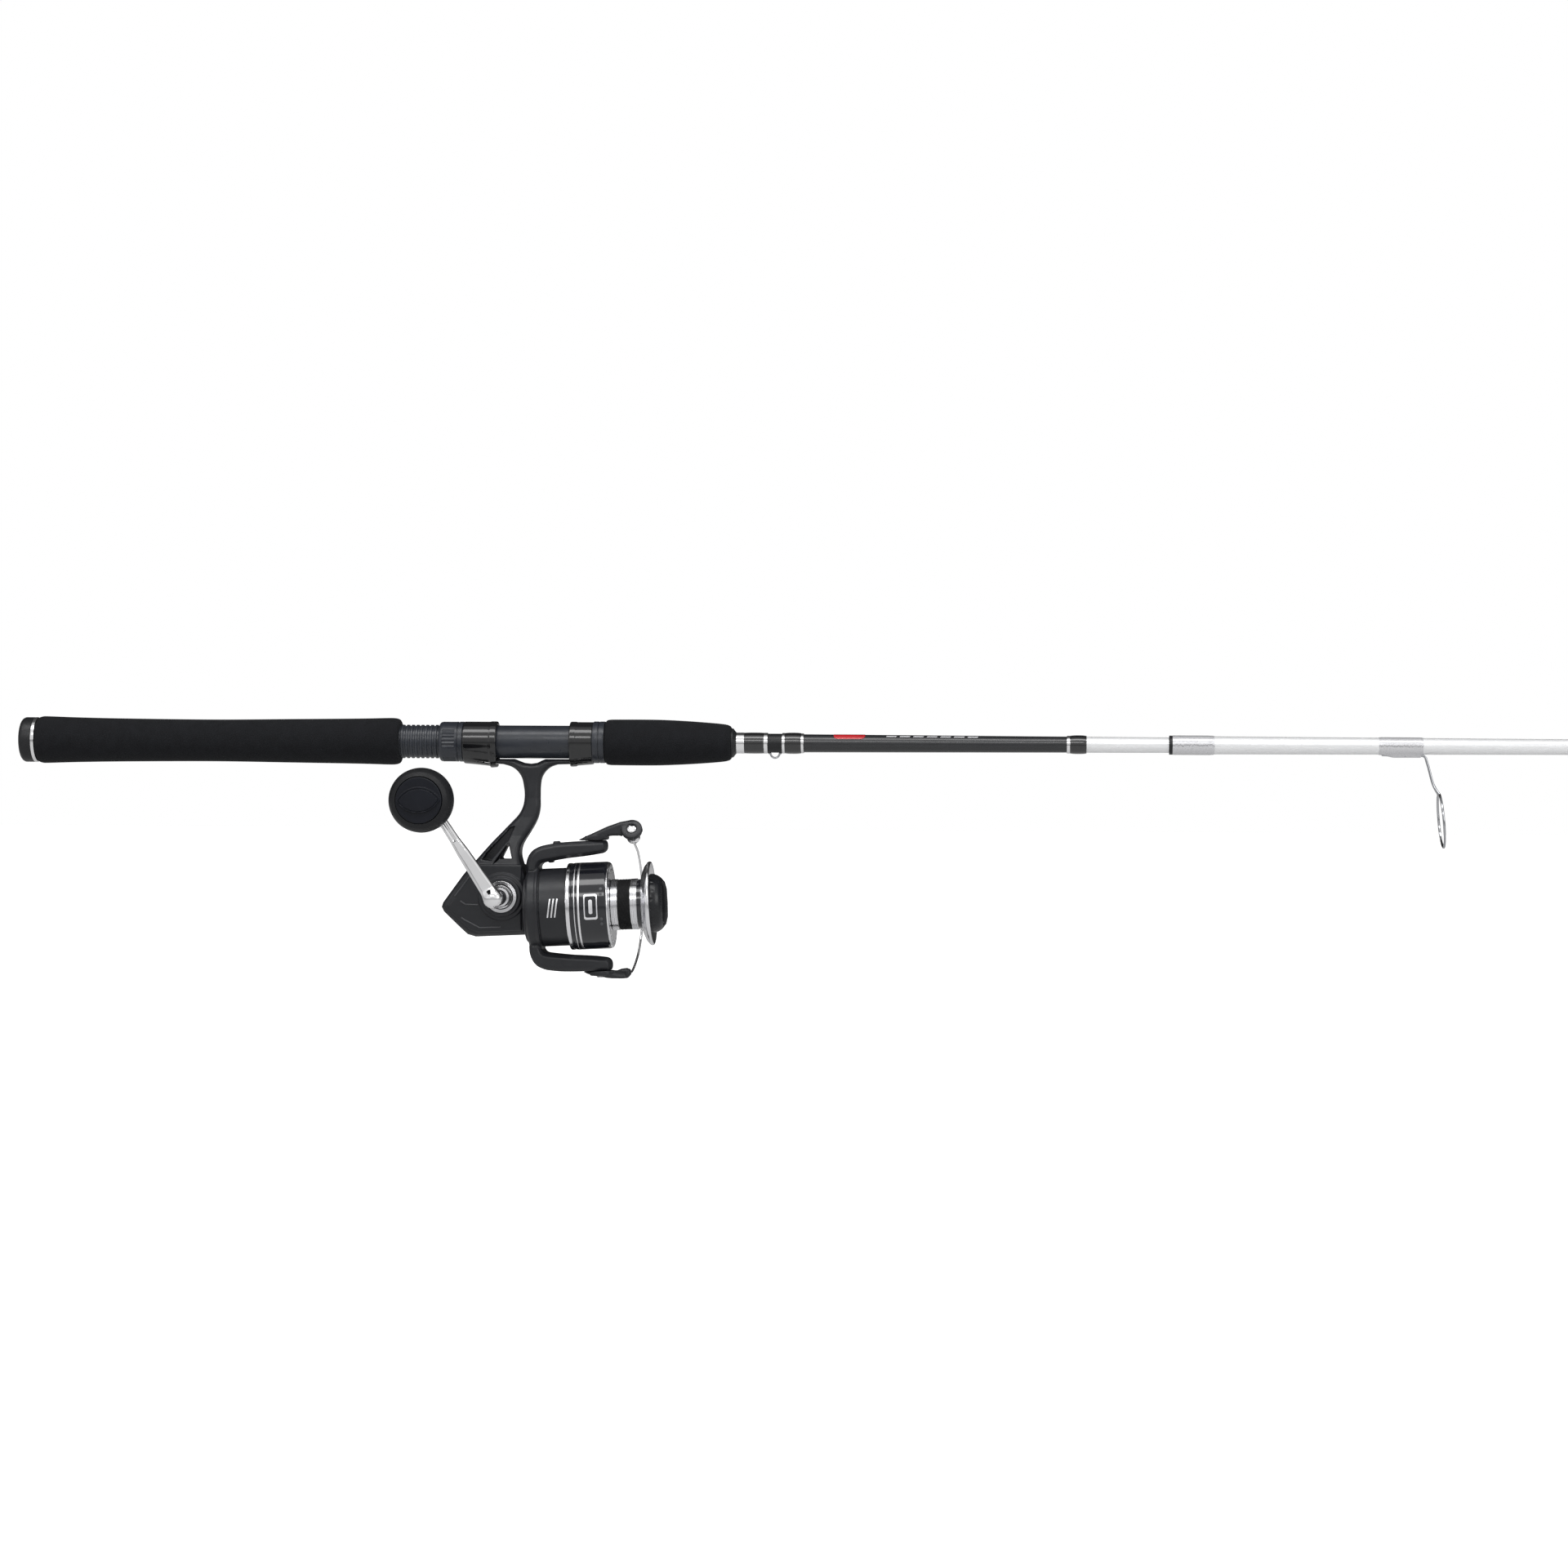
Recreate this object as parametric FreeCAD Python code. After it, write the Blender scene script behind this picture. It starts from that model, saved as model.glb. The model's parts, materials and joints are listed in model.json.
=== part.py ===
"""Two-piece spinning rod with a spinning reel on its seat.

Rod frame, millimetres: the origin is at the centre of the butt's flat end, +X runs along the rod
to its tip, +Z is up and the reel hangs towards -Z with its handle on the -Y side.
Reel frame: x runs forward along the spool axis, y is the rod's Y, z points away from the spool
axis towards the rod. on_reel() carries a shape from the reel frame to the rod frame.
"""
import FreeCAD, Part
import math
import os
from FreeCAD import Vector as V

# ---- rod: stations along X and radii ----
ROD_LENGTH = 2134.0
CAP_END = 8.2
CAP_R = 14.4
BUTT_RING_END = 10.6
BUTT_RING_R = 14.4
GRIP_END = 246.5
THREAD_START = 246.5
THREAD_CREST_R = 10.8
THREAD_ROOT_R = 10.3
THREAD_PITCH = 3.1
NUT_START = 272.3
NUT_END = 287.6
NUT_R = 12.8
SLIDE_HOOD_END = 309.3
SEAT_R = 10.5
FIXED_HOOD_START = 356.0
FIXED_HOOD_END = 371.0
HOOD_RINGS_END = 378.4
FOREGRIP_START = 378.7
FOREGRIP_END = 459.2
CHECK_END = 462.4
KEEPER_X = 487.05
FERRULE_AT = 736.8
FERRULE_RING_END = 738.9
FERRULE_WRAP_END = 765.2
FERRULE_LAP = 60.0
BLANK_WALL = 1.3
BLANK_BUTT_R = 6.9
BLANK_CHECK_R = 5.95
BLANK_FERRULE_R = 4.85
FERRULE_MALE_R = 4.70
FERRULE_FIT = 0.05
TIP_BASE_R = 5.85
TIP_KNEE_X = 905.0
TIP_KNEE_R = 5.2
TIP_END_R = 1.15
FOOT_START = 295.5
FOOT_END = 367.5
FOOT_HALF = 5.6

# ---- reel: place and tilt ----
REEL_X = 330.0
REEL_Z = -106.3
REEL_TILT = 2.7
DRIVE_X = -15.4
DRIVE_Z = 8.3
GEAR_TEETH = 42
PINION_TEETH = 8
PINION_PITCH_R = 4.13
PINION_TIP_R = 4.75
PINION_ROOT_R = 3.45
HELIX_TAN = 1.11
GEAR_CONTACT_X = 12.5
GEAR_R_IN = 13.5
GEAR_R_OUT = 16.5
OSC_PINION_TEETH = 16
OSC_TEETH = 32
OSC_MODULE = 0.6
SPOOL_STROKE = 16.0
OSC_DROP = 12.3
SHAFT_R = 2.4
PINION_BORE_R = 2.46
DRIVE_SHAFT_R = 3.5
RUNNING_FIT = 0.03
ARM_TOP = 41.5
BAIL_PIVOT_X = 45.0
HANDLE_Y = -52.0
HANDLE_DX = -38.2
HANDLE_DZ = 63.3
HOUSING_TOP = -75.7
BODY_FRONT = 328.9
SIDE_SPLIT = 9.6
SCREW_PLACES = [(-46.0, 2.0), (-34.5, 19.5), (-7.0, -12.2), (-36.6, -8.6)]
SCREW_PILLAR_R = 3.4
GUIDE_ROD_Z = -11.0
GUIDE_ROD_START = -40.4
PINION_SHAFT_R = 4.0
CRANK_PIN_R = 1.5
SHAFT_FRONT = 84.0
DRUM_R = 25.0
ROTOR_ARM_ROOT_HALF = 13.0
BAIL_SWING_R = 12.2
ROLLER_START = V(68.7, -5.6, 46.4)
ROLLER_AXIS = V(0, 0.86, -0.51).normalize()
ARBOR_R = 15.8
SKIRT_R = 27.8
GUIDE_LEAN = 5.3
GUIDE_WIRE_R = 0.25
GUIDE_WIRE_SHARE = 0.014
TIP_RING_R = 3.6
TIP_RING_WIRE = 0.6
TIP_RING_LEAN = 25.0
KEEPER_WIRE_R = 0.6
KEEPER_LOOP_R = 2.9
KEEPER_FOOT_REACH = 4.0
HOOD_R = 13.2
HOOD_RING_R = 13.3
HOOD_RING_GROOVE_R = 12.7
HOOD_NECK_R = 11.7

OUT = "parts"


# ---- general helpers ----
def points_wire(points):
    """Closed wire through (a, b) points given as vectors."""
    return Part.makePolygon(points + [points[0]])


def revolve(profile):
    """Solid of revolution about X from an outline of (x, r) points, straight between them."""
    face = Part.Face(points_wire([V(x, 0, r) for x, r in profile]))
    return face.revolve(V(0, 0, 0), V(1, 0, 0), 360)


def revolve_curve(outer, inner_r0, inner_r1):
    """Sleeve about X: a smooth outer curve through (x, r) points and a straight (tapered) bore."""
    curve = Part.BSplineCurve()
    curve.interpolate([V(x, 0, r) for x, r in outer])
    first, last = outer[0], outer[-1]
    edges = [curve.toShape(),
             Part.makeLine(V(last[0], 0, last[1]), V(last[0], 0, inner_r1)),
             Part.makeLine(V(last[0], 0, inner_r1), V(first[0], 0, inner_r0)),
             Part.makeLine(V(first[0], 0, inner_r0), V(first[0], 0, first[1]))]
    return Part.Face(Part.Wire(edges)).revolve(V(0, 0, 0), V(1, 0, 0), 360)


def tube(x0, x1, r_out, r_in):
    return revolve([(x0, r_in), (x0, r_out), (x1, r_out), (x1, r_in)])


def rod_x(x0, x1, r, y=0.0, z=0.0):
    return Part.makeCylinder(r, x1 - x0, V(x0, y, z), V(1, 0, 0))


def rod_y(y0, y1, r, x=0.0, z=0.0):
    return Part.makeCylinder(r, y1 - y0, V(x, y0, z), V(0, 1, 0))


def ring_y(y0, y1, r_out, r_in, x=0.0, z=0.0):
    return rod_y(y0, y1, r_out, x, z).cut(rod_y(y0 - 1, y1 + 1, r_in, x, z))


def rod_z(z0, z1, r, x=0.0, y=0.0):
    return Part.makeCylinder(r, z1 - z0, V(x, y, z0), V(0, 0, 1))


def box(x0, x1, y0, y1, z0, z1):
    return Part.makeBox(x1 - x0, y1 - y0, z1 - z0, V(x0, y0, z0))


def plate_y(outline, y0, y1):
    """Extrude an (x, z) outline along Y."""
    face = Part.Face(points_wire([V(x, y0, z) for x, z in outline]))
    return face.extrude(V(0, y1 - y0, 0))


def pipe(points, r):
    """Round wire along a smooth curve through the points."""
    curve = Part.BSplineCurve()
    curve.interpolate(points)
    path = Part.Wire([curve.toShape()])
    start = curve.tangent(curve.FirstParameter)[0]
    circle = Part.Wire([Part.makeCircle(r, points[0], start)])
    return path.makePipeShell([circle], True, True)


def main_solid(shape):
    """The largest solid of a cut shape."""
    return max(shape.Solids, key=lambda solid: solid.Volume)


def on_reel(shape):
    """Carry a shape from the reel frame to the rod frame."""
    placed = shape.copy()
    placed.rotate(V(0, 0, 0), V(0, 1, 0), -REEL_TILT)
    placed.translate(V(REEL_X, 0, REEL_Z))
    return placed


def reel_xz(x, z):
    """A reel-frame (x, z) place in rod-frame (X, Z)."""
    tilt = math.radians(REEL_TILT)
    along = REEL_X + x * math.cos(tilt) - z * math.sin(tilt)
    return along, REEL_Z + x * math.sin(tilt) + z * math.cos(tilt)


def save(name, shape):
    solids = shape.Solids
    group = solids[0] if len(solids) == 1 else Part.makeCompound(solids)
    print(name, len(solids), "valid" if group.isValid() else "INVALID", round(group.Volume, 1))
    group.exportStep(OUT + "/" + name + ".step")


def blank_r(x):
    """Outer radius of the assembled blank at X."""
    if x < CHECK_END:
        return BLANK_BUTT_R + (BLANK_CHECK_R - BLANK_BUTT_R) * x / CHECK_END
    if x < FERRULE_AT:
        part = (x - CHECK_END) / (FERRULE_AT - CHECK_END)
        return BLANK_CHECK_R + (BLANK_FERRULE_R - BLANK_CHECK_R) * part
    if x < TIP_KNEE_X:
        part = (x - FERRULE_AT) / (TIP_KNEE_X - FERRULE_AT)
        return TIP_BASE_R + (TIP_KNEE_R - TIP_BASE_R) * part
    part = (x - TIP_KNEE_X) / (ROD_LENGTH - TIP_KNEE_X)
    return TIP_KNEE_R + (TIP_END_R - TIP_KNEE_R) * part


def sleeve(x0, x1, r_mid, crown=0.0):
    """Thin sleeve on the blank, slightly crowned, as a thread wrap under varnish is."""
    mid = (x0 + x1) / 2
    low = r_mid - crown
    outer = [(x0, low), (mid, r_mid), (x1, low)] if crown else [(x0, r_mid), (x1, r_mid)]
    return revolve([(x0, blank_r(x0))] + outer + [(x1, blank_r(x1))])


# ---- rod, butt section ----
def make_butt():
    cap = revolve([(0, 0), (0, CAP_R - 2.2), (0.7, CAP_R - 0.7), (2.4, CAP_R), (CAP_END, CAP_R),
                   (CAP_END, blank_r(8)), (3, blank_r(3)), (3, 0)])
    save("butt_cap", cap)
    save("butt_trim_ring", revolve([(CAP_END, blank_r(CAP_END)), (CAP_END, BUTT_RING_R - 0.3),
                                    (CAP_END + 0.3, BUTT_RING_R), (BUTT_RING_END - 0.3, BUTT_RING_R),
                                    (BUTT_RING_END, BUTT_RING_R - 0.3),
                                    (BUTT_RING_END, blank_r(BUTT_RING_END))]))
    grip = [(BUTT_RING_END, 13.6), (12.2, 14.7), (16, 15.05), (38, 14.4), (70, 13.85), (126, 13.45),
            (177, 14.0), (219, 14.5), (240, 15.0), (244.6, 14.6), (GRIP_END, 13.2)]
    save("rear_grip", revolve_curve(grip, blank_r(BUTT_RING_END), blank_r(GRIP_END)))

    lap_end = FERRULE_AT + FERRULE_LAP
    outer = [(3, blank_r(3)), (CHECK_END, BLANK_CHECK_R), (FERRULE_AT - 2, BLANK_FERRULE_R),
             (FERRULE_AT - 0.5, FERRULE_MALE_R), (lap_end, FERRULE_MALE_R - 0.2)]
    inner = [(x, r - BLANK_WALL) for x, r in reversed(outer)]
    save("blank_butt", revolve(outer + inner))

    foregrip = [(FOREGRIP_START, 13.4), (380.4, 14.3), (384, 14.6), (411, 14.6), (430, 13.85),
                (446, 12.75), (455, 11.9), (458, 11.2), (FOREGRIP_END, 9.8)]
    save("foregrip", revolve_curve(foregrip, blank_r(FOREGRIP_START), blank_r(FOREGRIP_END)))
    save("winding_check", revolve([(FOREGRIP_END, blank_r(FOREGRIP_END)), (FOREGRIP_END, 9.4),
                                   (460.6, 9.0), (CHECK_END, 6.7), (CHECK_END, BLANK_CHECK_R)]))

    bands = [(462.4, 467.6, 6.65), (480.0, 482.5, 6.6), (491.6, 493.4, 6.55), (503.6, 505.4, 6.3),
             (672.3, 674.4, 5.6)]
    save("silver_bands", Part.makeCompound([sleeve(a, b, r) for a, b, r in bands]))
    wraps = [(467.6, 480.0, 6.7, 0.15), (493.4, 503.6, 6.75, 0.3), (674.4, 684.7, 5.95, 0.35)]
    save("gloss_wraps", Part.makeCompound([sleeve(a, b, r, c) for a, b, r, c in wraps]))

    foot_z = -(blank_r(KEEPER_X - 5) + KEEPER_WIRE_R + 0.02)
    loop = Part.makeTorus(KEEPER_LOOP_R, KEEPER_WIRE_R, V(KEEPER_X, 0, foot_z), V(0, 1, 0))
    keeper = loop.common(box(KEEPER_X - 4, KEEPER_X + 4, -2, 2, foot_z - 4, foot_z))
    wrap = sleeve(482.5, 491.6, 6.05)
    for sign in (-1, 1):
        leg_x = KEEPER_X + sign * KEEPER_LOOP_R
        x0, x1 = sorted((leg_x, KEEPER_X + sign * KEEPER_FOOT_REACH))
        keeper = keeper.fuse(Part.makeSphere(KEEPER_WIRE_R, V(leg_x, 0, foot_z)))
        keeper = keeper.fuse(rod_x(x0, x1, KEEPER_WIRE_R, 0, foot_z))
        x0, x1 = sorted((leg_x, KEEPER_X + sign * (KEEPER_FOOT_REACH + 0.4)))
        wrap = wrap.fuse(rod_x(x0, x1, KEEPER_WIRE_R + 0.35, 0, foot_z))
    save("hook_keeper", keeper)
    core = revolve([(480, 0), (480, blank_r(480)), (495, blank_r(495)), (495, 0)])
    wrap = wrap.cut(core).cut(keeper)
    save("keeper_wrap", wrap)


# ---- reel seat ----
def hood_outline(x0, x1, low0, low1):
    """Teardrop section pair: round about the seat and drawn down over the reel foot."""
    wires = []
    for x, low in ((x0, low0), (x1, low1)):
        top = V(x, 0, HOOD_R)
        left = V(x, -HOOD_R, 0)
        right = V(x, HOOD_R, 0)
        wires.append(Part.Wire([Part.Arc(left, top, right).toShape(),
                                Part.Arc(right, V(x, 0, low), left).toShape()]))
    return Part.makeLoft(wires, True, True)


def foot_blade(grow=0.0):
    """The reel foot: a blade curved to the seat on top and thinning towards both ends."""
    half = FOOT_HALF + grow
    low = [(FOOT_START - grow, -12.2 - grow), (309.3, -14.1 - grow), (FIXED_HOOD_START, -14.1 - grow),
           (FOOT_END + grow, -12.4 - grow)]
    outline = low + [(FOOT_END + grow, -8.0), (FOOT_START - grow, -8.0)]
    blade = plate_y(outline, -half, half)
    return blade.cut(rod_x(FOOT_START - 9, FOOT_END + 9, SEAT_R + 0.35))


def make_seat():
    ribs = []
    count = int((SLIDE_HOOD_END - THREAD_START - 2) / THREAD_PITCH)
    for index in range(count):
        x = THREAD_START + 0.4 + index * THREAD_PITCH
        ribs += [(x, THREAD_ROOT_R), (x + 0.6, THREAD_CREST_R), (x + 1.9, THREAD_CREST_R),
                 (x + 2.5, THREAD_ROOT_R)]
    outline = [(THREAD_START, blank_r(THREAD_START)), (THREAD_START, THREAD_ROOT_R)] + ribs
    outline += [(SLIDE_HOOD_END - 1, THREAD_ROOT_R), (SLIDE_HOOD_END, SEAT_R), (HOOD_RINGS_END, SEAT_R),
                (HOOD_RINGS_END, blank_r(HOOD_RINGS_END))]
    barrel = revolve(outline)
    keyway = box(THREAD_START + 1, SLIDE_HOOD_END - 2, -1.6, 1.6, 9.3, 12)
    save("reel_seat_barrel", barrel.cut(keyway))

    # The sliding hood: a collar on the thread with a pocket for the rear end of the reel foot.
    slide_bore = THREAD_CREST_R + 0.1
    hood = hood_outline(NUT_END, SLIDE_HOOD_END - 4, -13.2, -16.3)
    lip = hood_outline(SLIDE_HOOD_END - 4, SLIDE_HOOD_END, -16.7, -16.3)
    hood = hood.fuse(lip).cut(rod_x(NUT_END - 1, SLIDE_HOOD_END + 1, slide_bore))
    hood = hood.cut(foot_blade(0.25))
    neck = tube(NUT_START + 5, NUT_END, HOOD_NECK_R, slide_bore)
    key = box(NUT_START + 6, SLIDE_HOOD_END - 3, -1.4, 1.4, 9.6, 11.3)
    save("sliding_hood", hood.fuse(neck).fuse(key).removeSplitter())

    # The lock nut, with groups of fine axial ribs in shallow recesses.
    nut = revolve([(NUT_START, 11.0), (NUT_START, 11.9), (NUT_START + 1.2, 12.6),
                   (NUT_END - 3.6, NUT_R - 0.05), (NUT_END - 3.4, NUT_R - 0.35),
                   (NUT_END - 3.0, NUT_R - 0.35), (NUT_END - 2.8, NUT_R), (NUT_END - 0.1, NUT_R),
                   (NUT_END - 0.1, 11.8), (NUT_START + 4.9, 11.8), (NUT_START + 4.9, 11.0)])
    groove = box(NUT_START + 3, NUT_END - 4.6, -0.35, 0.35, NUT_R - 0.5, NUT_R + 1)
    cuts = []
    for group in range(8):
        for line in range(-2, 3):
            cut = groove.copy()
            cut.rotate(V(0, 0, 0), V(1, 0, 0), group * 45 + line * 6)
            cuts.append(cut)
    save("lock_nut", nut.cut(Part.makeCompound(cuts)))

    hood = hood_outline(FIXED_HOOD_START, FIXED_HOOD_START + 4, -15.6, -15.8)
    hood = hood.fuse(hood_outline(FIXED_HOOD_START + 4, FIXED_HOOD_END, -15.4, -13.7))
    hood = hood.cut(rod_x(FIXED_HOOD_START - 1, FIXED_HOOD_END + 1, SEAT_R))
    hood = hood.cut(foot_blade(0.1))
    save("fixed_hood", hood.removeSplitter())
    middle = (FIXED_HOOD_END + HOOD_RINGS_END) / 2
    rings = [tube(FIXED_HOOD_END, middle - 0.2, HOOD_RING_R, SEAT_R),
             tube(middle - 0.2, middle + 0.2, HOOD_RING_GROOVE_R, SEAT_R),
             tube(middle + 0.2, HOOD_RINGS_END, HOOD_RING_R, SEAT_R)]
    save("hood_trim_rings", rings[0].fuse(rings[1]).fuse(rings[2]).removeSplitter())


# ---- rod, tip section and guides ----
GUIDES = [(907.5, 35.5, 46.7), (1254.0, 25.0, 31.0), (1524.0, 16.0, 20.0), (1724.0, 12.5, 15.5),
          (1894.0, 10.5, 13.0), (2024.0, 9.5, 12.0)]


def guide_insert(ring_r, wire, centre, lean_deg=GUIDE_LEAN):
    """Hard ring inside a guide frame: a short straight bore between two sloping sides."""
    outer, bore = ring_r - 0.35 * wire, ring_r - 1.35 * wire
    insert = revolve([(-1.0 * wire, outer), (-0.5 * wire, bore), (0.5 * wire, bore), (1.0 * wire, outer)])
    insert.rotate(V(0, 0, 0), V(0, 1, 0), -lean_deg)
    insert.translate(centre)
    return insert


def guide(x, across, drop):
    """Single-foot guide: a leaning wire ring on a curved leg, with a foot lying on the blank.

    x is the ring centre's place along the rod, across its outer diameter and drop its depth
    below the rod axis. Returns the frame, the inner ring and the foot's span.
    """
    wire = GUIDE_WIRE_R + GUIDE_WIRE_SHARE * across
    ring_r = across / 2 - wire
    lean = math.radians(GUIDE_LEAN)
    normal = V(math.cos(lean), 0, math.sin(lean))
    centre = V(x, 0, -drop)
    ring = Part.makeTorus(ring_r, wire, centre, normal)
    foot_r = wire + 0.15
    foot_z = -(blank_r(x) + foot_r * 0.9)
    foot_x0 = x - 1.05 * across
    top = centre.add(V(-math.sin(lean), 0, math.cos(lean)).multiply(ring_r))
    knee = V(x - 0.31 * across, 0, foot_z)
    path = [V(foot_x0, 0, foot_z), V(foot_x0 + 0.4 * across, 0, foot_z), knee,
            V(x - 0.25 * across, 0, foot_z - 0.1 * drop), V(x - 0.16 * across, 0, foot_z - 0.42 * drop),
            top]
    leg = pipe(path[:3], foot_r)
    arm = pipe([path[2], path[3], path[4], top.add(V(0, 0, -0.3 * wire))], foot_r)
    frame = ring.fuse(leg).fuse(arm).fuse(Part.makeSphere(foot_r, knee))
    insert = guide_insert(ring_r, wire, centre)
    return main_solid(frame.cut(insert)), insert, (foot_x0 - 2.0, x - 0.33 * across, foot_r)


def make_tip():
    lap_end = FERRULE_AT + FERRULE_LAP
    bore = FERRULE_MALE_R + FERRULE_FIT
    tip_end = ROD_LENGTH - 8
    outer = [(FERRULE_AT, TIP_BASE_R), (TIP_KNEE_X, TIP_KNEE_R), (tip_end, blank_r(tip_end))]
    inner = [(tip_end, 0.5), (TIP_KNEE_X, TIP_KNEE_R - BLANK_WALL), (lap_end + 8, 3.9),
             (lap_end + 1, bore - 0.2), (FERRULE_AT, bore)]
    save("blank_tip", revolve(outer + inner))
    save("ferrule_ring", revolve([(FERRULE_AT, TIP_BASE_R), (FERRULE_AT, 5.9), (FERRULE_AT + 0.2, 6.05),
                                  (FERRULE_RING_END, 6.05), (FERRULE_RING_END, blank_r(FERRULE_RING_END))]))
    save("ferrule_wrap", sleeve(FERRULE_RING_END, FERRULE_WRAP_END, 6.2, 0.15))
    inserts = []
    wraps = []
    frames = []
    for x, across, drop in GUIDES:
        frame, insert, (x0, x1, foot_r) = guide(x, across, drop)
        body = revolve([(x0, blank_r(x0)), (x0 + 1, blank_r(x0) + 0.35), (x1 - 1, blank_r(x1) + 0.35),
                        (x1, blank_r(x1))])
        hump = rod_x(x0 + 1.6, x1 - 0.4, foot_r * 1.35, 0, -(blank_r(x) + foot_r * 0.9))
        inner = revolve([(x0 - 1, 0), (x0 - 1, blank_r(x0 - 1)), (x + 1, blank_r(x + 1)), (x + 1, 0)])
        frame = main_solid(frame.cut(inner))
        wraps.append(body.fuse(hump).cut(inner).cut(frame))
        inserts.append(insert)
        frames.append(frame)
    save("stripper_guide", frames[0])
    save("second_guide", frames[1])
    save("running_guides", Part.makeCompound(frames[2:]))
    tube_x0 = ROD_LENGTH - 14
    tip_r = 1.75
    sleeve_tube = revolve([(tube_x0, blank_r(tube_x0)), (tube_x0, tip_r), (ROD_LENGTH - 6.5, tip_r),
                           (ROD_LENGTH - 6.5, 0), (ROD_LENGTH - 8, 0),
                           (ROD_LENGTH - 8, blank_r(ROD_LENGTH - 8))])
    centre = V(ROD_LENGTH - 4.5, 0, -3.4)
    lean = math.radians(TIP_RING_LEAN)
    normal = V(math.cos(lean), 0, math.sin(lean))
    ring = Part.makeTorus(TIP_RING_R, TIP_RING_WIRE, centre, normal)
    insert = guide_insert(TIP_RING_R, TIP_RING_WIRE, centre, TIP_RING_LEAN)
    save("tip_top", sleeve_tube.fuse(ring).cut(insert))
    inserts.append(insert)
    save("guide_rings", Part.makeCompound(inserts))
    save("guide_wraps", Part.makeCompound(wraps))


# ---- reel: body, foot and stem, in the rod frame ----
def body_outline():
    """Side outline of the reel body: housing, split stem and foot, as (X, Z) points."""
    return [(BODY_FRONT, -123.0), (296.5, -124.6), (291.5, -123.0), (276.5, -108.5), (275.0, -105.5),
            (276.0, -102.6), (289.0, -84.6), (296.6, -75.7), (307.0, -63.6), (317.5, -52.6),
            (323.2, -46.3), (326.2, -40.0), (326.3, -29.5), (325.2, -22.7), (322.6, -18.6),
            (318.6, -15.2), (313.0, -14.2), (309.3, -14.1), (FOOT_START, -12.2), (FOOT_START, -10.9),
            (320.5, -10.9), (323.5, -12.2), (327.5, -13.5), (334.0, -13.5), (337.2, -12.0),
            (339.5, -10.9), (FOOT_END, -10.9), (FOOT_END, -12.4), (FIXED_HOOD_START, -14.1),
            (347.8, -14.3), (343.0, -16.2), (339.4, -19.6), (337.3, -24.2), (336.8, -32.0),
            (336.9, -42.5), (334.8, -49.3), (330.7, -57.2), (325.6, -65.0), (324.4, -71.3),
            (326.1, -79.1), (BODY_FRONT, -87.0)]


def width_outline():
    """Front outline of the reel body, half of it: (half width, Z)."""
    return [(FOOT_HALF, -10.0), (FOOT_HALF, -16.0), (4.6, -22.0), (4.4, -36.0), (5.2, -48.0),
            (7.0, -60.0), (10.0, -70.0), (12.2, -80.0), (13.0, -90.0), (13.0, -114.0), (11.6, -121.0),
            (9.0, -124.8)]


def body_core(y0, y1):
    """The body's side outline thinned to its front outline, between two Y planes."""
    block = plate_y(body_outline(), y0, y1)
    half = width_outline()
    ring = [V(270, y, z) for y, z in half] + [V(270, -y, z) for y, z in reversed(half)]
    front = Part.Face(points_wire(ring)).extrude(V(110, 0, 0))
    return block.common(front)


def cavity():
    """Gear space inside the housing, in the reel frame."""
    outline = [(-2.5, -14.8), (-35.2, -14.8), (-50.0, 1.5), (-37.0, 21.0), (-31.0, 27.0),
               (-2.5, 27.0)]
    space = plate_y(outline, -10.0, SIDE_SPLIT)
    front = rod_x(-3, 1.8, 20.9).common(box(-3, 1.8, -10, SIDE_SPLIT, -10, 20))
    return space.fuse(front)


def drive_hole(y0, y1, r):
    return rod_y(y0, y1, r, DRIVE_X, DRIVE_Z)


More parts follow.
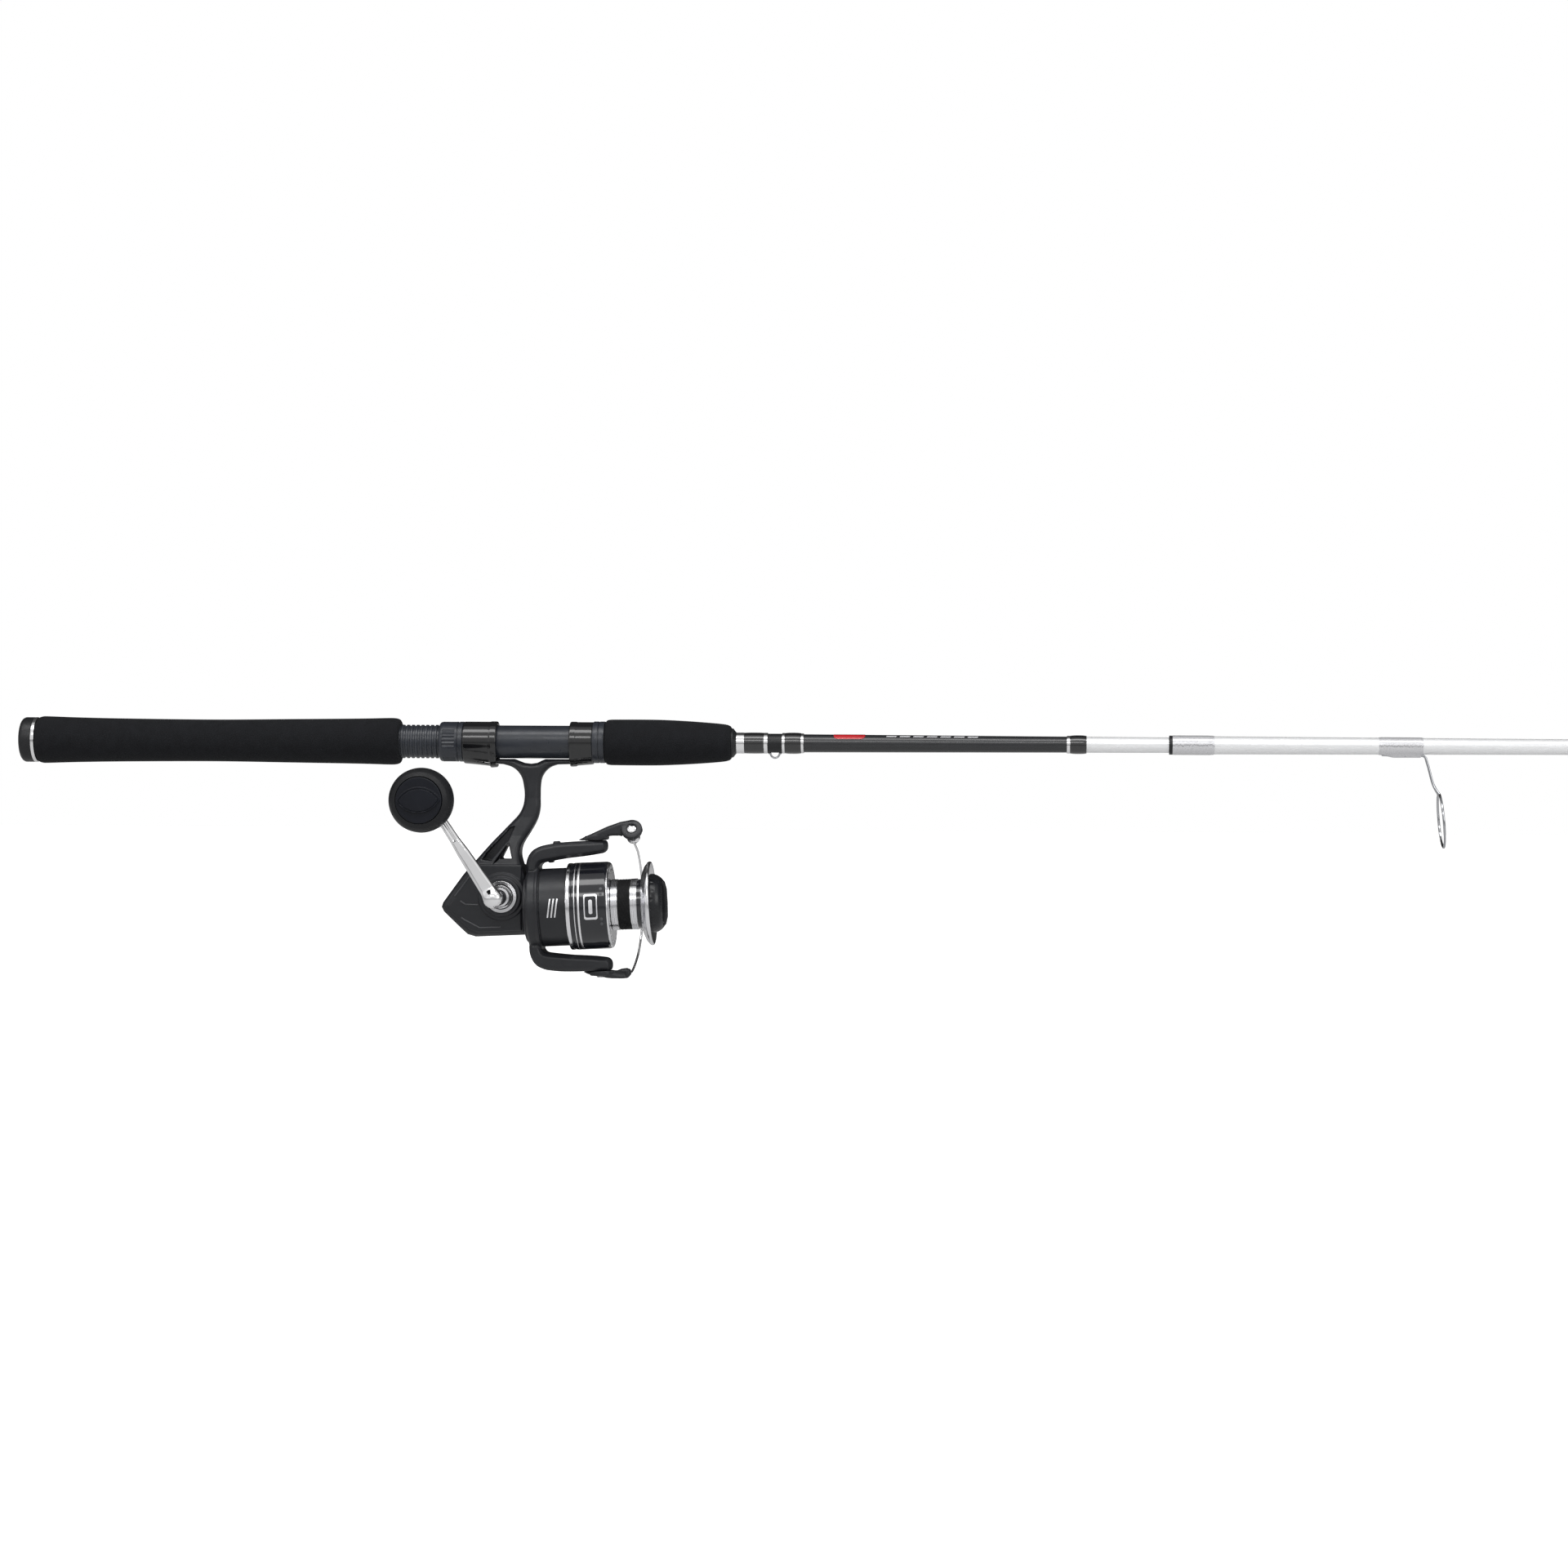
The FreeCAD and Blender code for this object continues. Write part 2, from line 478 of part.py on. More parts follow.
def make_body():
    core = body_core(-14, SIDE_SPLIT)
    x, z = reel_xz(DRIVE_X, DRIVE_Z)
    boss = rod_y(-15.4, -12, 15.1, x, z).fuse(rod_y(-17.6, -15, 12.6, x, z))
    boss = boss.makeChamfer(0.6, [e for e in boss.Edges if e.BoundBox.YMax < -15 and e.Length > 60])
    neck = on_reel(rod_x(-3, 3.4, 21.9).common(box(-3, 3.4, -21.9, SIDE_SPLIT, -21.9, 21.9)))
    neck = neck.fuse(on_reel(rod_x(3, 13.6, 15.4)))
    body = core.fuse(boss).fuse(neck)
    # Three-sided window and two long slots that leave struts between the housing and the stem.
    window = plate_y([(317.3, -65.0), (319.4, -74.3), (312.8, -74.3)], -20, 20)
    holes = on_reel(cavity())
    holes = holes.fuse(on_reel(rod_x(-3, 7.0, 8.0)))
    holes = holes.fuse(on_reel(rod_x(6.9, 12.6, 12.0)))
    holes = holes.fuse(on_reel(rod_x(12.5, 14, 6.2)))
    holes = holes.fuse(on_reel(drive_hole(-14.2, -9, 6.5)))
    holes = holes.fuse(on_reel(drive_hole(-20, -9, 4.3)))
    rod_hole = on_reel(rod_x(GUIDE_ROD_START - 0.1, -1, 1.25, 0, GUIDE_ROD_Z))
    slot_cut = plate_y([(319.6, -56.4), (318.0, -58.6), (307.2, -73.2), (305.6, -71.8)], -20, 20)
    body = body.cut(window).cut(holes).cut(rod_hole).cut(slot_cut)
    for sx, sz in SCREW_PLACES:
        pillar = on_reel(rod_y(4.6, SIDE_SPLIT, SCREW_PILLAR_R, sx, sz)).common(core)
        body = body.fuse(pillar).cut(on_reel(rod_y(5.4, 12, 0.9, sx, sz)))
    save("reel_body", body.removeSplitter())

    cover = body_core(SIDE_SPLIT, 14)
    cover = cover.common(box(270, BODY_FRONT, SIDE_SPLIT, 14, -130, HOUSING_TOP))
    cover = cover.fuse(rod_y(SIDE_SPLIT, 16.4, 12.6, x, z))
    cover = cover.cut(on_reel(drive_hole(9, 13.4, 6.5))).cut(on_reel(drive_hole(9, 20, 4.3)))
    osc_x = DRIVE_X - math.sqrt(osc_centres() ** 2 - OSC_DROP ** 2)
    cover = cover.fuse(on_reel(rod_y(5.6, 10.5, 2.0, osc_x, DRIVE_Z - OSC_DROP)))
    screws = []
    for sx, sz in SCREW_PLACES:
        cover = cover.cut(on_reel(rod_y(9, 16, 0.9, sx, sz))).cut(on_reel(rod_y(12.2, 16, 1.9, sx, sz)))
        screw = rod_y(5.5, 12.3, 0.88, sx, sz).fuse(rod_y(12.2, 13.4, 1.85, sx, sz))
        cross = box(-1.3, 1.3, 12.9, 14, -0.3, 0.3).fuse(box(-0.3, 0.3, 12.9, 14, -1.3, 1.3))
        cross.translate(V(sx, 0, sz))
        screws.append(on_reel(screw.cut(cross)))
    save("side_cover", cover.removeSplitter())
    save("side_cover_screws", Part.makeCompound(screws))

    rings = [ring_y(-19.0, -17.6, 9.9, 8.0, DRIVE_X, DRIVE_Z)]
    cap = rod_y(16.4, 18.6, 9.9, DRIVE_X, DRIVE_Z)
    coin_slot = box(-5, 5, 17.8, 19, -0.7, 0.7)
    coin_slot.translate(V(DRIVE_X, 0, DRIVE_Z))
    rings.append(cap.cut(coin_slot).cut(drive_hole(15, 17.4, 4.3)))
    save("shaft_collars", on_reel(Part.makeCompound(rings)))
    bearings = [bearing_y(-14.2, -10.2), bearing_y(9.6, 13.4)]
    save("drive_bearings", on_reel(Part.makeCompound(bearings)))
    inner = PINION_SHAFT_R + RUNNING_FIT
    save("pinion_bearing", on_reel(tube(3.0, 7.0, 8.0, inner)))
    roller_r = 1.1
    clutch = tube(7.2, 12.5, 12.0, inner)
    gaps = []
    for index in range(8):
        angle = math.radians(45 * index)
        gaps.append(rod_x(7.0, 12.0, roller_r, 7.6 * math.cos(angle), 7.6 * math.sin(angle)))
    save("anti_reverse_clutch", on_reel(clutch.cut(Part.makeCompound(gaps))))
    save("slider_guide_rod", on_reel(rod_x(GUIDE_ROD_START, -1.2, 1.24, 0, GUIDE_ROD_Z)))


def bearing_y(y0, y1):
    """Shielded ball bearing on the drive shaft, with a shield groove in each face."""
    bearing = ring_y(y0, y1, 6.5, DRIVE_SHAFT_R + RUNNING_FIT, DRIVE_X, DRIVE_Z)
    for a, b in ((y0 - 1, y0 + 0.3), (y1 - 0.3, y1 + 1)):
        bearing = bearing.cut(ring_y(a, b, 5.7, 4.4, DRIVE_X, DRIVE_Z))
    return bearing


def osc_centres():
    return OSC_MODULE * (OSC_PINION_TEETH + OSC_TEETH) / 2


# ---- reel: gear train, in the reel frame ----
def spur_gear(teeth, y0, y1, x, z, phase_deg):
    """Straight gear about Y with slim trapezoid teeth; a tooth centre lies at phase_deg."""
    pitch_r = OSC_MODULE * teeth / 2
    root = pitch_r - 1.15 * OSC_MODULE
    tip = pitch_r + 0.85 * OSC_MODULE
    points = []
    for index in range(teeth):
        centre = math.radians(phase_deg) + 2 * math.pi * index / teeth
        for radius, half_mm in ((root, -0.62), (tip, -0.22), (tip, 0.22), (root, 0.62)):
            angle = centre + half_mm / radius
            points.append((x + radius * math.cos(angle), z + radius * math.sin(angle)))
    return plate_y(points, y0, y1)


def drive_gear_shape():
    """Face gear on its shaft: spiral teeth on the disc's +Y face, made about the drive axis."""
    disc = rod_y(-9.0, -5.0, GEAR_R_OUT + 0.1, 0, 0)
    for index in range(6):
        angle = math.radians(60 * index + 30)
        disc = disc.cut(rod_y(-10, -4, 2.2, 8.6 * math.cos(angle), 8.6 * math.sin(angle)))
    teeth = []
    contact = V(GEAR_CONTACT_X, 0, -DRIVE_Z)
    direction = V(1, 0, -HELIX_TAN).normalize()
    side = V(direction.z, 0, -direction.x)
    reach = 2.6
    sections = []
    for y, half in ((-5.2, 0.5), (-3.72, 0.26)):
        corners = []
        for s, w in ((-reach, -half), (reach, -half), (reach, half), (-reach, half)):
            corner = contact + direction * s + side * w
            corners.append(V(corner.x, y, corner.z))
        sections.append(points_wire(corners))
    bar = Part.makeLoft(sections, True, True)
    band = ring_y(-5.3, -3.6, GEAR_R_OUT, GEAR_R_IN, 0, 0)
    bar = bar.common(band)
    for index in range(GEAR_TEETH):
        tooth = bar.copy()
        tooth.rotate(V(0, 0, 0), V(0, 1, 0), 360.0 / GEAR_TEETH * index)
        teeth.append(tooth)
    gear = disc.multiFuse(teeth)
    gear = gear.fuse(rod_y(-21.0, 13.2, DRIVE_SHAFT_R, 0, 0))
    gear = gear.fuse(rod_y(-9.9, -9.0, 5.5, 0, 0)).fuse(rod_y(-5.0, 5.2, 4.4, 0, 0))
    gear.translate(V(DRIVE_X, 0, DRIVE_Z))
    return gear


def pinion_section(x):
    """Eight-tooth outline about X at x, turned along the helix; a gap faces the drive gear."""
    turn = (x - (DRIVE_X + GEAR_CONTACT_X)) * HELIX_TAN / PINION_PITCH_R
    points = []
    for index in range(PINION_TEETH):
        centre = math.pi + turn + 2 * math.pi * (index + 0.5) / PINION_TEETH
        for radius, half_mm in ((PINION_ROOT_R, -0.8), (PINION_TIP_R, -0.3), (PINION_TIP_R, 0.3),
                                (PINION_ROOT_R, 0.8)):
            angle = centre + half_mm / radius
            points.append(V(x, radius * math.cos(angle), radius * math.sin(angle)))
    return points_wire(points)


def make_gears():
    drive = drive_gear_shape()
    save("drive_gear", on_reel(drive))
    centres = osc_centres()
    osc_x = DRIVE_X - math.sqrt(centres ** 2 - OSC_DROP ** 2)
    osc_z = DRIVE_Z - OSC_DROP
    toward = math.degrees(math.atan2(osc_z - DRIVE_Z, osc_x - DRIVE_X))
    small = spur_gear(OSC_PINION_TEETH, 5.2, 8.4, DRIVE_X, DRIVE_Z, toward)
    small = small.cut(drive_hole(5, 9, DRIVE_SHAFT_R))
    save("oscillation_pinion", on_reel(small))
    half_tooth = 180.0 / OSC_TEETH
    large = spur_gear(OSC_TEETH, 5.5, 8.2, osc_x, osc_z, toward + 180 + half_tooth)
    large = large.cut(rod_y(5, 9, 2.0 + RUNNING_FIT, osc_x, osc_z))
    crank_x = osc_x + SPOOL_STROKE / 2
    large = large.fuse(rod_y(4.5, 5.6, CRANK_PIN_R, crank_x, osc_z))
    save("oscillation_gear", on_reel(large.removeSplitter()))

    steps = 9
    x0, x1 = -8.0, 1.4
    sections = [pinion_section(x0 + (x1 - x0) * step / steps) for step in range(steps + 1)]
    pinion = Part.makeLoft(sections, True, False)
    shaft = rod_x(1.3, 20.8, PINION_SHAFT_R)
    shaft = shaft.cut(box(14.6, 22, -5, 5, 3.3, 6)).cut(box(14.6, 22, -5, 5, -6, -3.3))
    pinion = pinion.fuse(shaft).cut(rod_x(-9, 22, PINION_BORE_R))
    save("pinion_gear", on_reel(pinion))

    slider_x0, slider_x1 = crank_x - 3.3, crank_x + 3.3
    slider = box(slider_x0, slider_x1, -3.2, 4.2, -14.3, 3.6)
    slider = slider.cut(box(crank_x - 1.75, crank_x + 1.75, 3.2, 5, -13.7, 5))
    slider = slider.cut(rod_x(slider_x0 - 1, slider_x1 + 1, 1.24 + RUNNING_FIT, 0, GUIDE_ROD_Z))
    slider = slider.cut(rod_x(slider_x0 - 1, slider_x1 + 1, SHAFT_R))
    save("oscillation_slider", on_reel(slider))
    shaft = rod_x(slider_x0 - 2, SHAFT_FRONT, SHAFT_R)
    for flat in (box(60, SHAFT_FRONT + 1, -3, 3, 2.0, 3), box(60, SHAFT_FRONT + 1, -3, 3, -3, -2.0)):
        shaft = shaft.cut(flat)
    save("main_shaft", on_reel(shaft))


# ---- reel: rotor and bail ----


def rotor_arm():
    """Upper rotor arm: an L from the rear rim, curving forward beside the spool."""
    outline = [(0.2, 22.0), (0.2, 27.5), (2.0, 33.5), (5.0, 37.4), (10.0, 39.6), (19.5, 41.1),
               (30.0, ARM_TOP), (52.0, ARM_TOP), (52.6, 38.5), (52.0, 35.0), (49.5, 33.2),
               (40.0, 32.0), (27.0, 31.0), (17.0, 29.5), (12.0, 28.7), (10.2, 28.2), (8.6, 26.6),
               (7.4, 24.0), (6.4, 22.0)]
    root = ROTOR_ARM_ROOT_HALF
    arm = plate_y(outline, -root, root)
    half_plan = [(-1, root), (8, 12.0), (20, 9.6), (44, 8.4), (50, 6.6), (53.5, 3.0)]
    plan = half_plan + [(x, -y) for x, y in reversed(half_plan)]
    plan_face = Part.Face(points_wire([V(x, y, 20) for x, y in plan]))
    return arm.common(plan_face.extrude(V(0, 0, 30)))


def make_rotor():
    cup = revolve([(0.2, 22.7), (0.2, 25.4), (1.2, 26.2), (5.2, 26.2), (6.2, DRUM_R), (30.0, DRUM_R),
                   (30.0, 23.2), (18.0, 23.2), (17.6, 9.0), (17.6, PINION_SHAFT_R),
                   (14.6, PINION_SHAFT_R), (14.6, 17.2), (5.6, 17.2), (4.6, 22.7)])
    upper = rotor_arm()
    lower = upper.copy()
    lower.rotate(V(0, 0, 0), V(1, 0, 0), 180)
    rotor = cup.fuse(upper).fuse(lower).cut(rod_x(-1, 5, 22.7))
    for sign in (1, -1):
        z0, z1 = sorted((sign * 36.0, sign * 42.0))
        rotor = rotor.cut(rod_z(z0, z1, 1.7, BAIL_PIVOT_X))
    pocket = box(22, 38, -5, 5, 35.0, 39.0)
    rotor = rotor.cut(pocket)
    save("rotor", on_reel(rotor.removeSplitter()))
    nut = Part.Face(points_wire([V(17.6, 6.4 * math.cos(math.radians(60 * i)),
                                   6.4 * math.sin(math.radians(60 * i))) for i in range(6)]))
    nut = nut.extrude(V(3.2, 0, 0)).cut(rod_x(17, 22, PINION_SHAFT_R))
    save("rotor_nut", on_reel(nut))
    coil = []
    for index in range(6):
        centre = V(24.5 + index * 1.9, 0, 37.0)
        coil.append(Part.makeTorus(1.35, 0.28, centre, V(1, 0, 0)))
    coil.append(rod_x(24.5, 34.5, 0.25, 0, 38.35))
    spring = coil[0]
    for turn in coil[1:]:
        spring = spring.fuse(turn)
    save("bail_spring", on_reel(spring))
    screws = []
    for sign in (1, -1):
        z0, z1 = sorted((sign * 36.2, sign * 44.9))
        head0, head1 = sorted((sign * 44.8, sign * 45.9))
        screw = rod_z(z0, z1, 1.69, BAIL_PIVOT_X).fuse(rod_z(head0, head1, 3.2, BAIL_PIVOT_X))
        slot0, slot1 = sorted((sign * 45.4, sign * 47))
        cross = box(-2, 2, -0.35, 0.35, slot0, slot1).fuse(box(-0.35, 0.35, -2, 2, slot0, slot1))
        cross.translate(V(BAIL_PIVOT_X, 0, 0))
        screws.append(screw.cut(cross))
    save("bail_pivot_screws", on_reel(Part.makeCompound(screws)))


def bail_disc(sign):
    z0, z1 = sorted((sign * (ARM_TOP + 0.15), sign * 44.7))
    disc = rod_z(z0, z1, 7.6, BAIL_PIVOT_X)
    return disc.cut(rod_z(min(z0, z1) - 1, max(z0, z1) + 1, 1.69 + 0.04, BAIL_PIVOT_X))


def roller_disc(s0, s1, r0, r1=None):
    """Round piece on the line roller's axis between two places along it."""
    start = ROLLER_START + ROLLER_AXIS * s0
    if r1 is None or r1 == r0:
        return Part.makeCylinder(r0, s1 - s0, start, ROLLER_AXIS)
    return Part.makeCone(r0, r1, s1 - s0, start, ROLLER_AXIS)


def make_bail():
    outline = [(34.0, 42.2), (44.0, 46.4), (53.0, 50.0), (61.5, 52.7), (69.0, 53.1), (74.0, 50.6),
               (75.4, 46.4), (73.4, 41.6), (69.0, 39.8), (64.0, 41.4), (61.0, 43.8), (52.0, 44.0),
               (50.0, 42.0)]
    web = plate_y(outline, -7.9, -3.4).cut(rod_z(36, ARM_TOP + 0.2, BAIL_SWING_R, BAIL_PIVOT_X))
    web = web.cut(box(30, BAIL_PIVOT_X, -9, 0, 36, ARM_TOP + 0.2))
    web = web.cut(rod_z(44.7, 60, 3.5, BAIL_PIVOT_X)).cut(rod_z(30, 60, 1.73, BAIL_PIVOT_X))
    cover = roller_disc(-3.6, 0.0, 5.9, 6.7)
    axle = roller_disc(-0.5, 9.4, 1.5)
    arm = bail_disc(1).fuse(web).cut(roller_disc(0.0, 9.0, 6.9)).fuse(cover).fuse(axle)
    screw_hole = roller_disc(-4.5, -3.1, 3.0)
    save("bail_arm", on_reel(main_solid(arm.cut(screw_hole).removeSplitter())))
    screw = roller_disc(-4.2, -3.1, 2.9)
    cross = box(-1.7, 1.7, -1, 1, -0.35, 0.35).fuse(box(-0.35, 0.35, -1, 1, -1.7, 1.7))
    cross.rotate(V(0, 0, 0), V(1, 0, 0), -30.7)
    cross.translate(ROLLER_START + ROLLER_AXIS * -4.9)
    save("roller_screw", on_reel(screw.cut(cross)))
    roller = roller_disc(0.3, 1.7, 4.9).fuse(roller_disc(1.7, 5.4, 4.9, 3.4))
    roller = roller.fuse(roller_disc(5.4, 7.6, 3.4, 4.2)).cut(roller_disc(-1, 9, 1.5 + RUNNING_FIT))
    save("line_roller", on_reel(roller))

    wire_r = 0.8
    cone = roller_disc(7.9, 15.5, 4.3, 1.0).cut(roller_disc(7, 9.4, 1.5))
    end = ROLLER_START + ROLLER_AXIS * 15.2
    path = [end, end + ROLLER_AXIS * 3.0, V(68.8, 24.5, 31.6), V(69.0, 35.5, 19.0), V(68.8, 41.3, 0.0),
            V(67.6, 36.0, -19.0), V(66.0, 24.5, -33.0), V(63.8, 8.5, -42.6), V(62.2, 2.0, -43.8)]
    wire = pipe(path, wire_r)
    save("bail_wire", on_reel(wire.fuse(cone)))
    outline = [(33.0, -41.7), (45.0, -46.0), (58.1, -47.3), (61.4, -47.1), (63.6, -44.6), (63.1, -41.2),
               (58.0, -40.8), (54.0, -41.8), (50.0, -41.7)]
    swing = rod_z(-ARM_TOP - 0.15, -36, BAIL_SWING_R, BAIL_PIVOT_X)
    web = plate_y(outline, -4.0, 4.0).cut(swing).cut(box(30, BAIL_PIVOT_X, -9, 9, -ARM_TOP - 0.15, -36))
    web = web.cut(rod_z(-60, -44.7, 3.5, BAIL_PIVOT_X)).cut(rod_z(-60, -30, 1.73, BAIL_PIVOT_X))
    save("bail_lever", on_reel(bail_disc(-1).fuse(web).cut(wire).removeSplitter()))


# ---- reel: spool and drag ----
def make_spool():
    skirt = revolve([(26.5, 26.4), (26.5, 27.4), (27.0, SKIRT_R), (29.6, SKIRT_R), (29.9, 27.5),
                     (30.5, 27.5), (30.8, SKIRT_R), (51.6, SKIRT_R), (52.5, 27.2), (53.5, 25.0),
                     (53.5, ARBOR_R), (73.0, ARBOR_R), (73.0, 12.4), (60.0, 12.4), (60.0, SHAFT_R + 0.05),
                     (56.0, SHAFT_R + 0.05), (56.0, 14.0), (50.6, 14.0), (50.6, 26.4)])
    save("spool", on_reel(skirt))
    lip = revolve([(73.0, 12.4), (73.0, 16.6), (73.6, 20.0), (75.6, 24.6), (77.6, 26.8), (78.6, 26.9),
                   (79.6, 26.0), (79.4, 24.8), (77.2, 21.8), (76.6, 20.2), (76.6, 12.4)])
    rings = [tube(54.0, 58.2, 16.3, ARBOR_R), tube(66.4, 70.6, 16.3, ARBOR_R)]
    save("spool_trim", on_reel(Part.makeCompound([lip] + rings)))
    save("arbor_band", on_reel(tube(58.3, 66.3, 16.2, ARBOR_R)))
    washers = []
    for index in range(5):
        x = 60.2 + 1.7 * index
        inner = SHAFT_R + 0.06 if index % 2 else 4.0
        washers.append(tube(x, x + 1.3, 12.0 - 0.3 * (index % 2), inner))
    save("drag_washers", on_reel(Part.makeCompound(washers)))
    teeth = []
    for index in range(40):
        angle = math.radians(9 * index)
        teeth.append(rod_x(50, 53, 0.5, 11.4 * math.cos(angle), 11.4 * math.sin(angle)))
    click = tube(50.8, 52.4, 11.2, SHAFT_R).cut(Part.makeCompound(teeth))
    save("click_ring", on_reel(click))

    knob = revolve([(77.4, 0), (77.4, 18.4), (79.6, 18.9), (81.4, 18.4), (84.6, 17.0), (86.0, 15.4),
                    (86.4, 13.0), (86.4, 0)])
    knob = knob.cut(revolve([(76, 0), (76, 11.6), (79.4, 11.6), (79.4, 0)]))
    knob = knob.cut(rod_x(76, SHAFT_FRONT + 0.6, SHAFT_R + 0.06))
    fin = plate_y([(85, -14.6), (87.6, -12.6), (88.8, -8.0), (88.8, 8.0), (87.6, 12.6), (85, 14.6)],
                  -2.6, 2.6)
    pressure = tube(70.6, 77.4, 9.6, SHAFT_R + 0.06).fuse(tube(77.2, 79.5, 9.6, SHAFT_R + 0.06))
    knob = knob.fuse(fin).fuse(pressure)
    for index in range(24):
        angle = math.radians(15 * index + 7.5)
        knob = knob.cut(rod_x(76.5, 80.6, 0.9, 19.4 * math.cos(angle), 19.4 * math.sin(angle)))
    save("drag_knob", on_reel(knob.removeSplitter()))


# ---- reel: handle ----
def make_handle():
    """Handle at the drive axis: a shank, a folding knuckle, a tapered arm and a round knob."""
    length = math.hypot(HANDLE_DX, HANDLE_DZ)
    along = V(HANDLE_DX / length, 0, HANDLE_DZ / length)
    fold_axis = V(along.z, 0, -along.x)
    hub = V(DRIVE_X, HANDLE_Y, DRIVE_Z)
    sleeve_part = rod_y(-44.0, -17.9, 6.4, DRIVE_X, DRIVE_Z)
    taper = Part.makeCone(6.4, 5.0, 2.0, V(DRIVE_X, -44.0, DRIVE_Z), V(0, -1, 0))
    shank = sleeve_part.fuse(taper).cut(drive_hole(-21.0, -17, DRIVE_SHAFT_R))

    def slab(half, reach_out, y0, y1, reach_in):
        """Plate square to the fold axis, from reach_in to reach_out along the arm direction."""
        corners = []
        for s, y in ((reach_in, y0), (reach_out, y0), (reach_out, y1), (reach_in, y1)):
            corners.append(V(DRIVE_X, y, DRIVE_Z) + along * s - fold_axis * half)
        return Part.Face(points_wire(corners)).extrude(fold_axis * (2 * half))

    tongue = slab(1.9, 3.4, HANDLE_Y, -45.0, -3.4)
    tongue = tongue.fuse(Part.makeCylinder(3.4, 3.8, hub - fold_axis * 1.9, fold_axis))
    pin_hole = Part.makeCylinder(1.5, 20, hub - fold_axis * 10, fold_axis)
    shank = shank.fuse(tongue).cut(pin_hole)
    save("handle_shank", on_reel(shank))
    pin = Part.makeCylinder(1.5, 12.6, hub - fold_axis * 6.3, fold_axis)
    save("fold_pin", on_reel(pin))

    ball = Part.makeSphere(6.4, hub)
    end = hub + along * length
    wires = []
    for s, half_w, half_t in ((3.0, 4.6, 3.2), (16.0, 4.1, 2.9), (45.0, 3.1, 2.5), (length, 2.8, 2.4)):
        centre = hub + along * s
        corners = []
        for a, b in ((-1, -0.5), (-0.5, -1), (0.5, -1), (1, -0.5), (1, 0.5), (0.5, 1), (-0.5, 1),
                     (-1, 0.5)):
            corners.append(centre + fold_axis * (a * half_w) + V(0, b * half_t, 0))
        wires.append(points_wire(corners))
    bar = Part.makeLoft(wires, True, True)
    arm = ball.fuse(bar)
    slot = slab(2.1, 4.0, HANDLE_Y - 8, HANDLE_Y + 8, -8.0)
    arm = arm.cut(slot).cut(Part.makeCylinder(1.53, 20, hub - fold_axis * 10, fold_axis))
    eye = Part.makeCylinder(5.6, 5.4, end + V(0, 2.7, 0), V(0, -1, 0))
    spindle_hole = Part.makeCylinder(2.6, 8, end + V(0, 4, 0), V(0, -1, 0))
    save("handle_arm", on_reel(arm.fuse(eye).cut(spindle_hole).removeSplitter()))
    spindle = Part.makeCylinder(2.6, 36, end + V(0, 2.9, 0), V(0, -1, 0))
    save("knob_spindle", on_reel(spindle))

    profile = [(-5.0, 0), (-5.0, 6.6), (-8.0, 7.2), (-11.5, 9.5), (-15.5, 14.5), (-19.5, 18.4),
               (-24.0, 20.0), (-30.0, 20.2), (-35.0, 19.4), (-38.0, 17.6), (-39.2, 15.4), (-39.2, 0)]
    face = Part.Face(points_wire([V(r, y, 0) for y, r in profile]))
    knob = face.revolve(V(0, 0, 0), V(0, 1, 0), 360)
    knob = knob.cut(rod_y(-33.5, 0, 2.6 + RUNNING_FIT)).cut(rod_y(-50, -38.4, 14.6))
    knob.translate(end)
    save("handle_knob", on_reel(knob))
    cap = rod_y(-40.4, -38.4, 14.5).fuse(Part.makeCone(14.5, 13.6, 0.7, V(0, -40.4, 0), V(0, -1, 0)))
    cap.translate(end)
    save("knob_cap", on_reel(cap))


os.makedirs(OUT, exist_ok=True)
make_butt()
make_seat()
make_tip()
make_body()
make_gears()
make_rotor()
make_bail()
make_spool()
make_handle()
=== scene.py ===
"""Spinning rod and reel: looks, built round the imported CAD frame.

Lengths in this file are millimetres in the rod frame unless a name says otherwise: +X runs from
the butt to the tip, +Z is up, the reel hangs below and its handle is on the -Y side. Meshes are
scaled to metres when they are made. Reel parts are drawn in the reel frame, whose x axis is the
spool axis, and are carried to the rod frame by the matrix REEL.
"""
import json
import math

import bmesh
import bpy
import numpy as np
from mathutils import Matrix, Vector


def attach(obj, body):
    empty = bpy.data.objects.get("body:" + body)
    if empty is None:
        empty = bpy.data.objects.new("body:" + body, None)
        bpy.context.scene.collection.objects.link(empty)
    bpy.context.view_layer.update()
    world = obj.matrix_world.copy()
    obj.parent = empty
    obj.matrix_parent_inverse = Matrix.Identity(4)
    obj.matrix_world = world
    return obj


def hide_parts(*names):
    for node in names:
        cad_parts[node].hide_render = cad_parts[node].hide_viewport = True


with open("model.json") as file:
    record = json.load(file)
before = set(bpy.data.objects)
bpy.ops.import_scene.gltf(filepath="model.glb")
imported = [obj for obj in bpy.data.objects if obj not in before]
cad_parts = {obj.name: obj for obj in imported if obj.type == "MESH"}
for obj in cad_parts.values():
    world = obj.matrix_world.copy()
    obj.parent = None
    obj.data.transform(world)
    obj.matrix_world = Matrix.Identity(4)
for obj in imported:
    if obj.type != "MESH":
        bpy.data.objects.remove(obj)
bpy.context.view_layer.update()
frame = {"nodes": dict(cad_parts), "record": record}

SCENE = bpy.context.scene
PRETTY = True
MM = 0.001

# The reel frame in the rod frame, and the handle's axis in the reel frame.
REEL_X = 330.0
REEL_Z = -106.3
REEL_TILT = math.radians(2.7)
REEL = Matrix.Translation((REEL_X, 0, REEL_Z)) @ Matrix.Rotation(-REEL_TILT, 4, "Y")
DRIVE_X = -15.4
DRIVE_Z = 8.3


